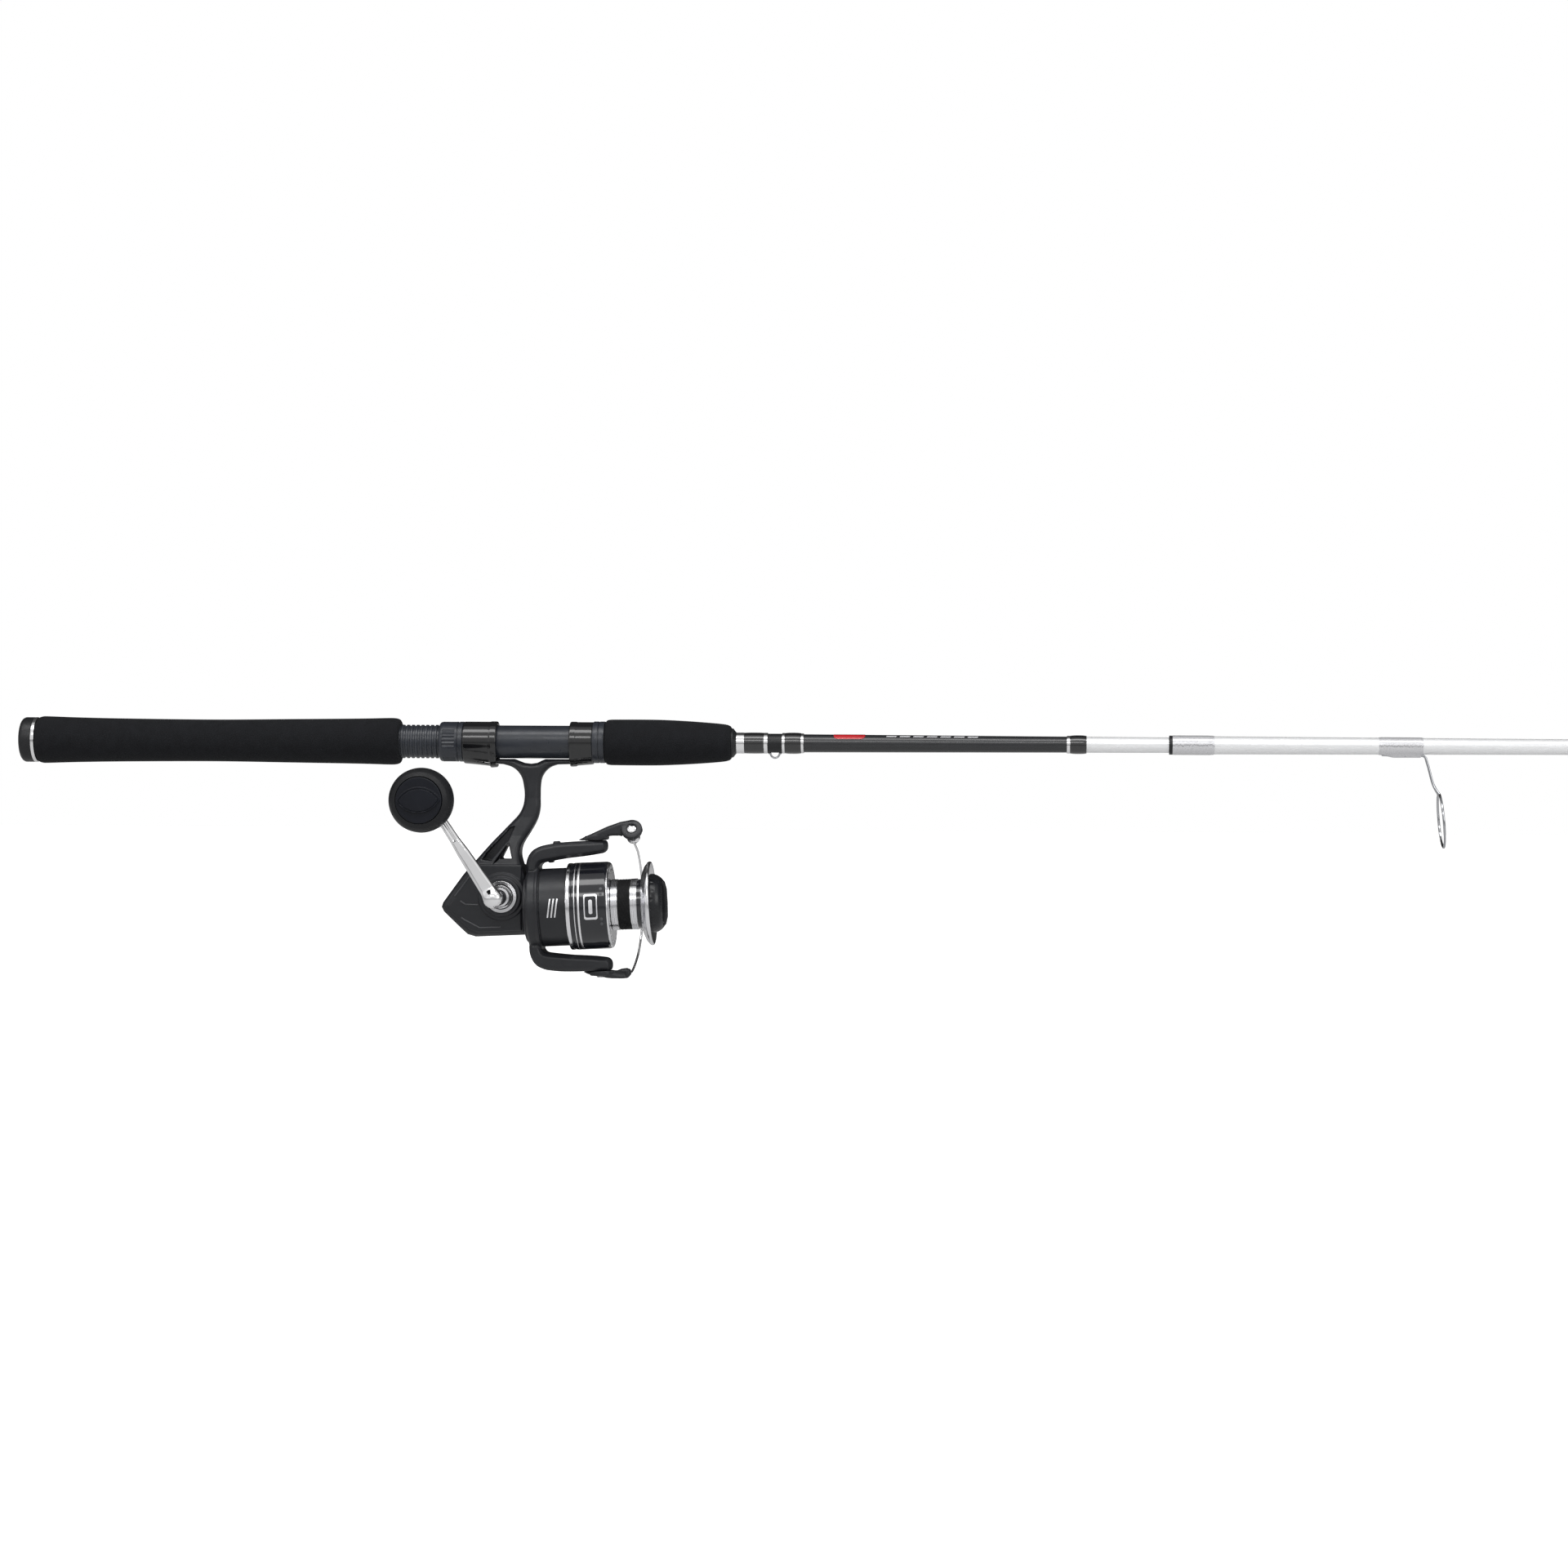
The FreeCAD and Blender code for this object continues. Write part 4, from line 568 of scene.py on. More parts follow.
def build_body():
    """Housing, stem and foot in one, with the neck that runs into the rotor."""
    field = Field((272, -19.5, -127), (370, 10.5, -9), 0.5)
    side = field.outline_xz(body_side_outline())
    width = np.abs(field.y) - body_half_width(field.z)
    field.add(field.bevelled(side, width, 2.3, 0.5))
    field.keep(field.slab("y", -40, SIDE_SPLIT), 0.0)
    # Raised plate on the near face, a little inside the housing's edge.
    field.add(field.both(field.outline_xz(PLATE), field.slab("y", -13.9, -6.0), 0.7), 0.5)
    # Round boss with two steps, and a small key line in its rim.
    field.add(field.cylinder("y", (BOSS_X, BOSS_Z), 15.1, -15.2, 0, 0.8), 0.6)
    field.add(field.cylinder("y", (BOSS_X, BOSS_Z), 12.7, -17.6, 0, 0.9), 0.3)
    field.carve(field.cylinder("y", (BOSS_X, BOSS_Z), 10.4, -30, -17.1, 0.2))
    # Recess between the outer strut and the window strut, and the window.
    recess = field.outline_xz([(321.2, -53.8), (317.4, -62.8), (306.4, -76.2), (300.8, -75.2),
                               (303.4, -70.8), (318.2, -54.6)])
    field.carve_faces(recess, 3.4, 0.8, 0.4)
    second = field.outline_xz([(317.0, -66.2), (311.4, -75.4), (307.6, -78.6), (309.2, -76.2),
                               (315.6, -66.6)])
    field.carve_faces(second, 4.4, 0.5, 0.3)
    window = field.outline_xz([(317.3, -65.2), (319.6, -74.5), (312.6, -74.5)])
    field.carve(window - 0.25, 0.5)
    # Seat curve on top of the foot, gear space inside and the shaft hole.
    field.carve(field.radial - (SEAT_R + 0.35))
    field.carve(field.cylinder("y", (BOSS_X, BOSS_Z), 7.8, -30, -9, 0.0))
    finish_piece(field.mesh("body_shell"), "root", REEL_BLACK, replaces="reel_body", smooth_deg=60)
    neck = [(-1.6, 6.2), (-1.6, 21.4), (-1.0, 21.9), (3.4, 21.9), (3.4, 15.4), (13.6, 15.4), (13.6, 6.2)]
    finish_piece(lathe("body_neck", neck, 64), "root", REEL_BLACK, REEL)


def build_side_cover():
    """The far face of the housing, with four countersinks for its screws."""
    field = Field((272, 9.0, -127), (331, 18.2, -67), 0.5)
    side = field.outline_xz(HOUSING)
    width = np.abs(field.y) - body_half_width(field.z)
    field.add(field.bevelled(side, width, 2.3, 0.5))
    field.keep(field.slab("y", SIDE_SPLIT + 0.12, 40), 0.25)
    field.add(field.both(field.outline_xz(PLATE), field.slab("y", SIDE_SPLIT, 13.9), 0.7), 0.5)
    field.add(field.cylinder("y", (BOSS_X, BOSS_Z), 15.1, SIDE_SPLIT, 15.0, 0.8), 0.6)
    field.add(field.cylinder("y", (BOSS_X, BOSS_Z), 12.6, SIDE_SPLIT, 16.4, 0.8), 0.3)
    for x, z in SCREW_PLACES:
        place = REEL @ Vector((x, 0, z))
        field.carve(field.cylinder("y", (place.x, place.z), 2.05, 12.6, 30, 0.2), 0.2)
    finish_piece(field.mesh("side_cover_shell"), "root", REEL_BLACK, replaces="side_cover", smooth_deg=60)


def build_styling_lines():
    """Thin raised lines moulded on both faces of the housing, behind the boss; the third follows the rim of
    the raised plate. Their lighter black is a painted highlight.
    """
    lines = (((287.6, -101.6), (290.8, -103.8), (299.0, -104.0)),
             ((288.2, -112.2), (290.4, -113.6), (300.0, -118.6), (313.5, -118.0)),
             ((284.0, -98.6), (293.4, -85.9)))
    for side, label in ((-1, "near"), (1, "far")):
        for index, line in enumerate(lines):
            name = f"styling_line_{label}{index}"
            points = [Vector((x, side * STYLING_FACE, z)) for x, z in line]
            finish_piece(tube_along(name, points, [0.45] * len(points), 10), "root", LINE_HIGHLIGHT_BLACK,
                         smooth_deg=50)


build_body()
build_side_cover()
build_styling_lines()


# ---------------------------------------------------------------- rotor and bail
ARM_TOP = 41.5
BAIL_PIVOT_X = 45.0
ROTOR_SIDE = [(0.2, 22.0), (0.2, 27.5), (1.0, 31.0), (2.4, 34.2), (5.0, 37.2), (10.0, 39.6), (19.5, 41.1),
              (30.0, ARM_TOP), (51.6, ARM_TOP), (52.5, 38.5), (52.0, 35.2), (49.5, 33.3), (40.0, 32.0),
              (27.0, 31.0), (17.0, 29.7), (12.0, 29.0), (9.9, 28.5), (8.4, 26.8), (7.8, 24.0),
              (7.6, 22.0)]


def mirrored(points):
    """The outline on the other side of the spool axis."""
    return [(x, -z) for x, z in points]


def build_rotor():
    """Drum with two arms, hollow behind for the neck and in front for the spool."""
    field = Field((-1, -28, -44), (54, 28, 44), 0.45)
    radial = field.radial
    field.add(field.both(radial - 24.9, field.slab("x", 1.0, 30.0), 0.5))
    field.add(field.bevelled(radial - 26.25, field.slab("x", 0.2, 8.2), 1.6, 0.1))
    field.add(field.bevelled(radial - 26.7, field.slab("x", 6.3, 8.4), 0.5, 0.05))
    field.carve(field.both(np.abs(radial - 25.1) - 0.6, field.slab("x", 8.4, 9.2)), 0.1)
    half = np.interp(field.x, [-1, 8, 20, 44, 50, 53.5], [13.0, 12.0, 9.6, 8.4, 6.8, 3.0])
    for outline in (ROTOR_SIDE, mirrored(ROTOR_SIDE)):
        side = field.outline_xz(rounded(outline, 3.5, 5))
        field.add(field.bevelled(side, np.abs(field.y) - half, 2.4, 0.4), 0.8)
    # Stub under the upper arm, short enough for the spool to slide past, and a pip on top of the arm.
    field.add(field.both(field.outline_xz([(14.2, 28.5), (17.0, 28.5), (17.0, 32), (14.2, 32)]),
                         np.abs(field.y) - 4.0, 0.1), 0.1)
    field.add(field.both(field.outline_xz([(17.4, 39.0), (21.4, 39.0), (21.4, 42.2), (17.4, 42.2)]),
                         np.abs(field.y) - 3.0, 0.6), 0.5)
    # Hollow for the spool's rear, the neck and the gear train behind it.
    field.carve(field.both(radial - 23.2, field.slab("x", 18.0, 40.0)))
    field.carve(field.both(radial - 17.2, field.slab("x", -4.0, 14.6)))
    field.carve(field.both(radial - 22.7, field.slab("x", -4.0, 4.8)))
    field.carve(radial - 4.0)
    for sign in (-1, 1):
        low, high = sorted((sign * 36.0, sign * 43.0))
        field.carve(field.cylinder("z", (BAIL_PIVOT_X, 0), 1.7, low, high, 0.0))
        low, high = sorted((sign * 35.0, sign * 39.0))
        pocket = np.maximum(np.abs(field.y) - 5.0, field.slab("z", low, high))
        field.carve(field.both(field.slab("x", 22, 38), pocket))
    finish_piece(field.mesh("rotor_frame"), "rotor", REEL_BLACK, REEL, replaces="rotor", smooth_deg=50)
    # Balance: three plain slanted marks printed on each side of the drum.
    for side in (0.0, math.pi):
        for mark in range(3):
            shift = 2.3 * mark
            finish_piece(wrap_plate(f"drum_mark_{int(side > 0)}{mark}", 14.6 + shift, 0.9, -6.0, 6.0,
                                    25.0, 0.06, side, 2.0), "rotor", PRINT_SILVER, REEL, smooth_deg=30)


ROLLER_START = Vector((68.7, -5.6, 46.4))
ROLLER_AXIS = Vector((0, 0.86, -0.51)).normalized()


def on_roller(along):
    return ROLLER_START + ROLLER_AXIS * along


def roller_matrix():
    """Carries a part lathed about X to the line roller's axis."""
    turn = Vector((1, 0, 0)).rotation_difference(ROLLER_AXIS).to_matrix().to_4x4()
    return REEL @ Matrix.Translation(ROLLER_START) @ turn


def build_bail():
    """Blade on the upper arm, foot on the lower one, the wire between them and the line roller."""
    outline = [(33.6, 42.0), (35.0, 42.9), (44.0, 46.6), (53.0, 50.2), (61.5, 52.8), (66.0, 53.4),
               (70.4, 52.9), (74.0, 50.6), (75.6, 46.8), (74.6, 42.8), (71.6, 40.4), (67.6, 40.1),
               (64.6, 42.0), (61.0, 43.9), (56.0, 44.1), (52.9, 43.8), (52.0, 42.0)]
    field = Field((31, -13, 34), (78, 9, 55), 0.4)
    side = field.outline_xz(outline)
    crown = -7.9 + np.interp(field.x, [34, 60, 66], [0.6, 0.0, 0.4])
    field.add(field.bevelled(side, np.maximum(crown - field.y, field.y + 3.4), 1.4, 0.4))
    field.add(field.cylinder("z", (BAIL_PIVOT_X, 0), 7.6, ARM_TOP + 0.15, 44.7, 0.6), 0.8)
    # Second step of the blade over the pivot.
    shelf = field.outline_xz([(36.0, 42.0), (38.0, 43.4), (52.6, 45.4), (52.6, 42.0)])
    field.add(field.both(shelf, np.maximum(-7.0 - field.y, field.y - 6.5), 0.8), 0.6)
    field.carve(field.cylinder("z", (BAIL_PIVOT_X, 0), 3.5, 44.6, 60.0, 0.0))
    field.carve(field.cylinder("z", (BAIL_PIVOT_X, 0), 1.74, 30.0, 60.0, 0.0))
    field.carve(field.disc(on_roller(4.6), ROLLER_AXIS, 6.9, 9.0, 0.0))
    field.add(field.disc(on_roller(-1.9), ROLLER_AXIS, 6.75, 3.8, 0.9), 0.5)
    field.add(field.disc(on_roller(-3.3), ROLLER_AXIS, 5.6, 1.2, 0.4), 0.2)
    field.carve(field.disc(on_roller(-4.2), ROLLER_AXIS, 3.3, 2.0, 0.2))
    field.add(field.bar(on_roller(-0.5), on_roller(9.4), 1.5))
    finish_piece(field.mesh("bail_blade"), "bail", REEL_BLACK, REEL, replaces="bail_arm", smooth_deg=50)

    outline = [(33.0, -41.7), (36.0, -43.4), (45.0, -46.0), (52.0, -46.9), (58.1, -47.2), (61.6, -47.0),
               (63.6, -44.8), (63.3, -41.6), (61.0, -40.6), (57.6, -40.9), (54.6, -41.9), (53.0, -41.8)]
    field = Field((31, -9, -50), (66, 9, -34), 0.4)
    side = field.outline_xz(outline)
    field.add(field.bevelled(side, np.abs(field.y) - 4.2, 1.0, 0.4))
    field.add(field.cylinder("z", (BAIL_PIVOT_X, 0), 7.6, -44.7, -ARM_TOP - 0.15, 0.6), 0.8)
    pit = field.outline_xz([(50.5, -43.4), (57.0, -45.3), (60.6, -45.2), (60.6, -43.2), (57.0, -42.6)])
    field.carve_faces(pit, 3.4, 0.4, 0.4)
    field.carve(field.cylinder("z", (BAIL_PIVOT_X, 0), 3.5, -60.0, -44.6, 0.0))
    field.carve(field.cylinder("z", (BAIL_PIVOT_X, 0), 1.74, -60.0, -30.0, 0.0))
    finish_piece(field.mesh("bail_foot"), "bail", REEL_BLACK, REEL, replaces="bail_lever", smooth_deg=50)

    # Bright wire: it leaves the roller's cone and sweeps round the spool's front to the lower lever.
    path = [on_roller(9.4), on_roller(15.2), on_roller(18.2), (68.8, 24.5, 31.6), (69.0, 35.5, 19.0),
            (68.8, 41.3, 0.0), (67.6, 36.0, -19.0), (66.0, 24.5, -33.0), (63.8, 8.5, -42.6),
            (62.2, 2.0, -43.8)]
    points = catmull(path, 10)
    radii = []
    for point in points:
        reach = (point - ROLLER_START).length
        radii.append(np.interp(reach, [9.0, 12.0, 15.5, 17.0], [3.2, 1.9, 1.0, 0.8]))
    finish_piece(tube_along("bail_hoop", points, radii, 20), "bail", POLISHED, REEL, replaces="bail_wire",
                 smooth_deg=60)
    cone = [(7.9, 0.5), (7.9, 4.2), (8.4, 4.35), (9.2, 4.0), (11.0, 2.6), (13.4, 1.4), (13.4, 0.5)]
    finish_piece(lathe("bail_cone", cone, 48, 0.2), "bail", POLISHED, roller_matrix())
    roller = [(0.3, 1.6), (0.3, 4.7), (0.8, 5.2), (1.5, 5.2), (2.2, 4.5), (3.6, 3.7), (5.0, 3.4),
              (6.2, 3.6), (7.0, 4.2), (7.6, 4.3), (7.6, 1.6)]
    finish_piece(lathe("roller_sleeve", roller, 64, 0.25), "line_roller", POLISHED, roller_matrix(),
                 replaces="line_roller")
    build_cross_screw()


def build_cross_screw():
    """Domed screw head with a cross recess, on the roller's axis and facing away from it."""
    field = Field((-1.6, -3.4, -3.4), (1.4, 3.4, 3.4), 0.12)
    dome = np.sqrt((field.x - 5.0) ** 2 + field.y ** 2 + field.z ** 2) - 6.1
    radial = field.radial - 2.95
    field.add(field.both(np.maximum(dome, radial), field.slab("x", -1.4, 1.0), 0.15))
    deep = field.slab("x", -3.0, -0.1)
    for u, v in ((field.y, field.z), (field.z, field.y)):
        taper = np.abs(v) - np.interp(np.abs(u), [0, 2.0], [0.62, 0.3])
        field.carve(np.maximum(np.maximum(np.abs(u) - 2.0, taper), deep))
    turn = Matrix.Rotation(math.radians(24), 4, "X")
    finish_piece(field.mesh("roller_screw_head"), "bail", POLISHED,
                 roller_matrix() @ Matrix.Translation((-3.4, 0, 0)) @ turn, replaces="roller_screw",
                 smooth_deg=40)


# ---------------------------------------------------------------- spool and drag knob
SKIRT_R = 27.8
ARBOR_R = 15.8


def build_spool():
    """Skirt with its printed stripes and frame, the arbor and the bright front lip."""
    skirt = [(29.0, 26.4), (29.0, 27.55), (29.9, 27.55), (30.4, 27.75), (31.0, SKIRT_R), (51.4, SKIRT_R),
             (52.4, 27.4), (52.6, 26.4), (50.6, 26.4), (50.6, 26.0), (49.6, 26.0), (49.6, 26.4)]
    finish_piece(lathe("spool_skirt", skirt, 160, 0.12), "spool", SPOOL_BLACK, REEL, replaces="spool")
    core = [(50.8, 14.0), (50.8, 26.3), (52.4, 26.3), (52.4, ARBOR_R), (73.0, ARBOR_R), (73.0, 12.4),
            (60.0, 12.4), (60.0, 2.45), (56.0, 2.45), (56.0, 14.0)]
    finish_piece(lathe("spool_core", core, 128, 0.05), "spool", SPOOL_BLACK, REEL)
    rear = [(26.5, 26.4), (26.5, 27.5), (27.0, 27.8), (28.7, 27.8), (29.0, 27.6), (29.0, 26.4)]
    finish_piece(lathe("spool_rear_ring", rear, 160, 0.15), "spool", SILVER_TRIM, REEL)
    build_front_flange()
    for x, width in ((31.9, 0.5), (34.2, 1.2)):
        band = [(x, SKIRT_R - 0.3), (x, SKIRT_R + 0.03), (x + width, SKIRT_R + 0.03),
                (x + width, SKIRT_R - 0.3)]
        finish_piece(lathe(f"skirt_stripe_{int(x)}", band, 160, 0.0), "spool", PRINT_SILVER, REEL)
    for side in (0.0, math.pi):
        for name, width, half, lift, material in (("badge", 8.6, 8.2, 0.05, PRINT_SILVER),
                                                  ("badge_field", 7.2, 6.8, 0.09, SPOOL_BLACK),
                                                  ("badge_bar", 2.4, 4.6, 0.13, PRINT_SILVER)):
            finish_piece(wrap_plate(f"{name}_{int(side > 0)}", 42.6, width, -half, half, SKIRT_R, lift,
                                    side, 0.0, 1.0, 24), "spool", material, REEL, smooth_deg=30)
    # Pairs of balance dimples near the front edge of the skirt.
    for angle in (70, 110, 250, 290):
        for shift in (-1.7, 1.7):
            a = math.radians(angle) + shift / SKIRT_R
            dimple = [(0.0, 0.0), (0.12, 0.0), (0.12, 0.75), (0.0, 1.05)]
            outward = Vector((0, -math.sin(a), math.cos(a)))
            turn = Vector((1, 0, 0)).rotation_difference(outward).to_matrix().to_4x4()
            place = Matrix.Translation(Vector((49.2, 0, 0)) + outward * (SKIRT_R - 0.04))
            finish_piece(lathe(f"skirt_dimple_{angle}_{int(shift > 0)}", dimple, 24, 0.0), "spool",
                         GREY_TRIM, REEL @ place @ turn)
    lip = [(73.0, 12.4), (73.0, 16.4), (73.5, 19.6), (75.2, 23.8), (77.0, 26.2), (78.2, 26.9),
           (79.2, 26.7), (79.6, 25.9), (79.2, 24.7), (77.4, 21.8), (76.6, 20.2), (76.6, 12.4)]
    finish_piece(lathe("spool_lip", lip, 160, 0.35), "spool", SILVER_TRIM, REEL, replaces="spool_trim")
    for start in (54.0, 66.4):
        ridges = [(start, ARBOR_R - 0.2)]
        for index in range(4):
            x = start + index * 1.06
            ridges += [(x, 16.35), (x + 0.7, 16.35), (x + 0.82, 15.85), (x + 0.94, 15.85)]
        ridges += [(start + 4.2, ARBOR_R - 0.2)]
        finish_piece(lathe(f"arbor_rings_{int(start)}", ridges, 128, 0.05), "spool", SILVER_TRIM, REEL)
    build_knurled_band()


def build_front_flange():
    """Bright annulus in front of the skirt with a ring of small holes."""
    field = Field((50.4, -28.4, -28.4), (54.4, 28.4, 28.4), 0.3)
    radial = field.radial
    plate = field.both(radial - (27.6 - 0.9 * np.clip(field.x - 52.6, 0, 1.2)),
                       field.slab("x", 52.4, 53.6), 0.3)
    field.add(np.maximum(plate, ARBOR_R - 0.1 - radial))
    for angle in turns(28):
        hole = field.cylinder("x", (23.6 * math.cos(angle), 23.6 * math.sin(angle)), 0.85, 53.0, 56.0, 0.0)
        field.carve(hole)
    finish_piece(field.mesh("spool_front_ring"), "spool", SILVER_TRIM, REEL, smooth_deg=40)


def build_knurled_band():
    """Soft band round the arbor with a raised diamond pattern that stops line slipping."""
    x0, x1, bumps = 58.3, 66.3, 22

    def radius(x, angle):
        u = bumps * (math.pi / 2 - angle)
        v = (x - x0) * math.pi
        bump = abs(math.cos((u + v) / 2)) * abs(math.cos((u - v) / 2))
        return 15.95 + 0.25 * bump * min(x - x0, x1 - x, 0.4) / 0.4

    stations = [x0 + (x1 - x0) * index / 34 for index in range(35)]
    finish_piece(turned("arbor_knurl", stations, radius, 15.8, 220), "spool", BAND_RUBBER, REEL,
                 replaces="arbor_band", smooth_deg=60)


def build_drag_knob():
    """Scalloped knob with a dished face and one raised grip across it."""
    field = Field((69.6, -20.4, -20.4), (90, 20.4, 20.4), 0.4)
    radial = field.radial
    profile = np.interp(field.x, [77.4, 79.0, 80.6, 82.6, 84.6, 86.0, 86.5],
                        [18.2, 18.9, 18.8, 18.1, 16.9, 15.2, 13.0])
    field.add(field.both(radial - profile, field.slab("x", 77.4, 86.3), 0.7))
    # Dished face with one raised grip across it.
    field.carve(field.both(radial - 13.2, field.slab("x", 84.9, 95.0), 0.8), 0.8)
    fin = field.outline_xz([(80, -16.4), (85.2, -15.9), (87.4, -13.6), (88.7, -8.6), (88.9, 0.0),
                            (88.7, 8.6), (87.4, 13.6), (85.2, 15.9), (80, 16.4)])
    waist = 2.7 + 1.3 * np.clip((np.abs(field.z) - 6) / 10, 0, 1)
    field.add(field.both(fin, np.abs(field.y) - waist, 0.9), 0.8)
    count = 20
    for index in range(count):
        angle = 2 * math.pi * (index + 0.5) / count
        field.carve(field.cylinder("x", (19.9 * math.cos(angle), 19.9 * math.sin(angle)), 1.35, 70.0,
                                   82.2, 0.5), 0.4)
    field.add(field.both(radial - 9.6, field.slab("x", 70.6, 78.0), 0.3))
    field.carve(field.both(radial - 2.5, field.slab("x", 60.0, 84.6)))
    finish_piece(field.mesh("drag_cap"), "drag_knob", KNOB_GLOSS, REEL, replaces="drag_knob",
                 smooth_deg=50)


# ---------------------------------------------------------------- handle
HANDLE_Y = -52.0
HANDLE_DX = -38.2
HANDLE_DZ = 63.3
ARM_LENGTH = math.hypot(HANDLE_DX, HANDLE_DZ)


def arm_matrix():
    """Arm frame to rod frame: x runs along the arm, y is the fold axis, z points at the rod's far side."""
    along = Vector((HANDLE_DX, 0, HANDLE_DZ)) / ARM_LENGTH
    fold = Vector((along.z, 0, -along.x))
    turn = Matrix((along, fold, along.cross(fold))).transposed().to_4x4()
    return REEL @ Matrix.Translation((DRIVE_X, HANDLE_Y, DRIVE_Z)) @ turn


def y_lathe_matrix(x, y, z):
    """Carries a part lathed about X so that its +x points along -Y from a reel-frame point."""
    return REEL @ Matrix.Translation((x, y, z)) @ Matrix.Rotation(-math.pi / 2, 4, "Z")


def build_handle():
    """Tapered arm with a ball at its fold, and the shank and tongue that it folds on."""
    field = Field((-8, -8, -8), (81, 8, 5), 0.4)
    ball = np.sqrt(field.x ** 2 + field.y ** 2 + field.z ** 2) - 6.4
    field.add(ball)
    half = np.interp(field.x, [2, 8, 20, 34, 44, 60, 74], [4.9, 4.75, 4.3, 3.85, 3.1, 2.75, 2.7])
    thick = np.interp(field.x, [2, 20, 34, 44, 74], [3.4, 3.0, 2.8, 2.35, 2.2])
    bar = field.bevelled(np.abs(field.y) - half, np.abs(field.z) - thick, 1.2, 0.3)
    field.add(np.maximum(bar, field.slab("x", 1.0, 74.0)), 2.0)
    # Shallow groove along the near face of the outer half.
    field.carve(field.bar((44.0, 0, -3.0), (67.0, 0, -2.85), 1.3))
    field.add(field.cylinder("z", (ARM_LENGTH, 0), 5.4, -2.7, 2.7, 0.7), 1.2)
    # Room for the tongue: it stands on the far side at rest and swings to the back as the arm folds.
    room = np.minimum(np.sqrt(field.x ** 2 + field.z ** 2) - 3.7,
                      np.maximum(np.maximum(field.x - 3.7, -3.7 - field.z), -9.0 - field.x))
    field.carve(np.maximum(np.abs(field.y) - 2.1, room))
    field.carve(field.cylinder("y", (0, 0), 1.53, -10, 10, 0.0))
    field.carve(field.cylinder("z", (ARM_LENGTH, 0), 2.62, -9, 9, 0.0))
    finish_piece(field.mesh("crank_arm"), "arm", CHROME, arm_matrix(), replaces="handle_arm",
                 smooth_deg=50)

    shank = [(0.0, 3.5), (0.0, 7.0), (0.8, 7.4), (2.4, 7.4), (3.2, 6.6), (4.2, 6.35), (5.4, 6.9),
             (6.6, 6.9), (7.6, 6.3), (16.0, 5.9), (24.0, 5.4), (26.2, 5.1), (27.3, 4.6), (27.3, 0.3),
             (4.0, 0.3), (4.0, 3.5)]
    finish_piece(lathe("shank_sleeve", shank, 96, 0.4), "drive", CHROME,
                 y_lathe_matrix(DRIVE_X, -17.9, DRIVE_Z), replaces="handle_shank")
    tongue = Field((-4.4, -2.6, -4.6), (4.4, 2.6, 8.4), 0.3)
    tongue.add(tongue.both(np.minimum(np.maximum(np.abs(tongue.x) - 3.4, tongue.slab("z", 0, 7.6)),
                                      tongue.cylinder("y", (0, 0), 3.4, -9, 9, 0.0)),
                           np.abs(tongue.y) - 1.9, 0.3))
    tongue.carve(tongue.cylinder("y", (0, 0), 1.5, -9, 9, 0.0))
    finish_piece(tongue.mesh("shank_tongue"), "drive", CHROME, arm_matrix(), smooth_deg=50)
    collar = [(0.0, 8.0), (0.0, 9.6), (0.5, 10.0), (1.2, 10.0), (1.4, 9.4), (1.1, 8.0)]
    finish_piece(lathe("boss_ring", collar, 128, 0.15), "root", CHROME,
                 y_lathe_matrix(DRIVE_X, -17.5, DRIVE_Z))


def build_knob():
    """Round grip on the arm's spindle and its stepped cap."""
    centre = (DRIVE_X + HANDLE_DX, HANDLE_Y, DRIVE_Z + HANDLE_DZ)
    profile = [(5.0, 2.63), (5.0, 6.4), (6.2, 7.0), (8.0, 7.3), (10.0, 8.3), (12.4, 10.6), (15.5, 14.4),
               (18.2, 17.2), (21.0, 19.0), (24.5, 20.0), (28.0, 20.2), (31.6, 20.0), (34.6, 19.0),
               (36.8, 17.6), (38.4, 15.6), (38.9, 14.9), (38.4, 14.6), (37.6, 14.5), (37.6, 2.63)]
    finish_piece(lathe("knob_grip", profile, 144, 0.4), "knob", KNOB_BLACK, y_lathe_matrix(*centre),
                 replaces="handle_knob")
    # Cap with a plain raised lens panel, and a thin groove round it.
    field = Field((36.6, -15, -15), (41.4, 15, 15), 0.3)
    radial = field.radial
    field.add(field.both(radial - 14.4, field.slab("x", 37.8, 39.7), 0.5))
    lens_half, lens_end = 8.0, 13.6
    lens_r = lens_end * lens_end / (2 * lens_half) + lens_half / 2
    offset = lens_r - lens_half
    lens = np.maximum(np.sqrt(field.y ** 2 + (field.z - offset) ** 2),
                      np.sqrt(field.y ** 2 + (field.z + offset) ** 2)) - lens_r
    lens = np.maximum(lens, radial - 13.5)
    field.add(field.both(lens, field.slab("x", 38.0, 40.9), 0.2), 0.05)
    field.carve(field.both(np.abs(lens + 0.9) - 0.22, field.slab("x", 40.5, 42.0)), 0.1)
    finish_piece(field.mesh("knob_panel"), "knob", KNOB_CAP, y_lathe_matrix(*centre), replaces="knob_cap",
                 smooth_deg=40)


build_rotor()
build_bail()
build_spool()
build_drag_knob()
build_handle()
build_knob()


# ---------------------------------------------------------------- rod
CHECK_X = 462.4
FERRULE_X = 736.8
DARK_END_X = 684.7
# Start, end and radius of each silver band, and for each wrap also the height of its crown.
BANDS = ((462.4, 467.6, 6.65), (480.0, 482.5, 6.6), (491.6, 493.4, 6.55), (503.6, 505.4, 6.3),
         (672.3, 674.4, 5.6))
WRAPS = ((467.6, 480.0, 6.7, 0.15), (493.4, 503.6, 6.75, 0.3), (674.4, 684.7, 5.95, 0.35))


def blank_radius(x):
    """Radius of the butt section's blank in front of the foregrip."""
    return 5.95 - 1.10 * (x - CHECK_X) / (FERRULE_X - CHECK_X)


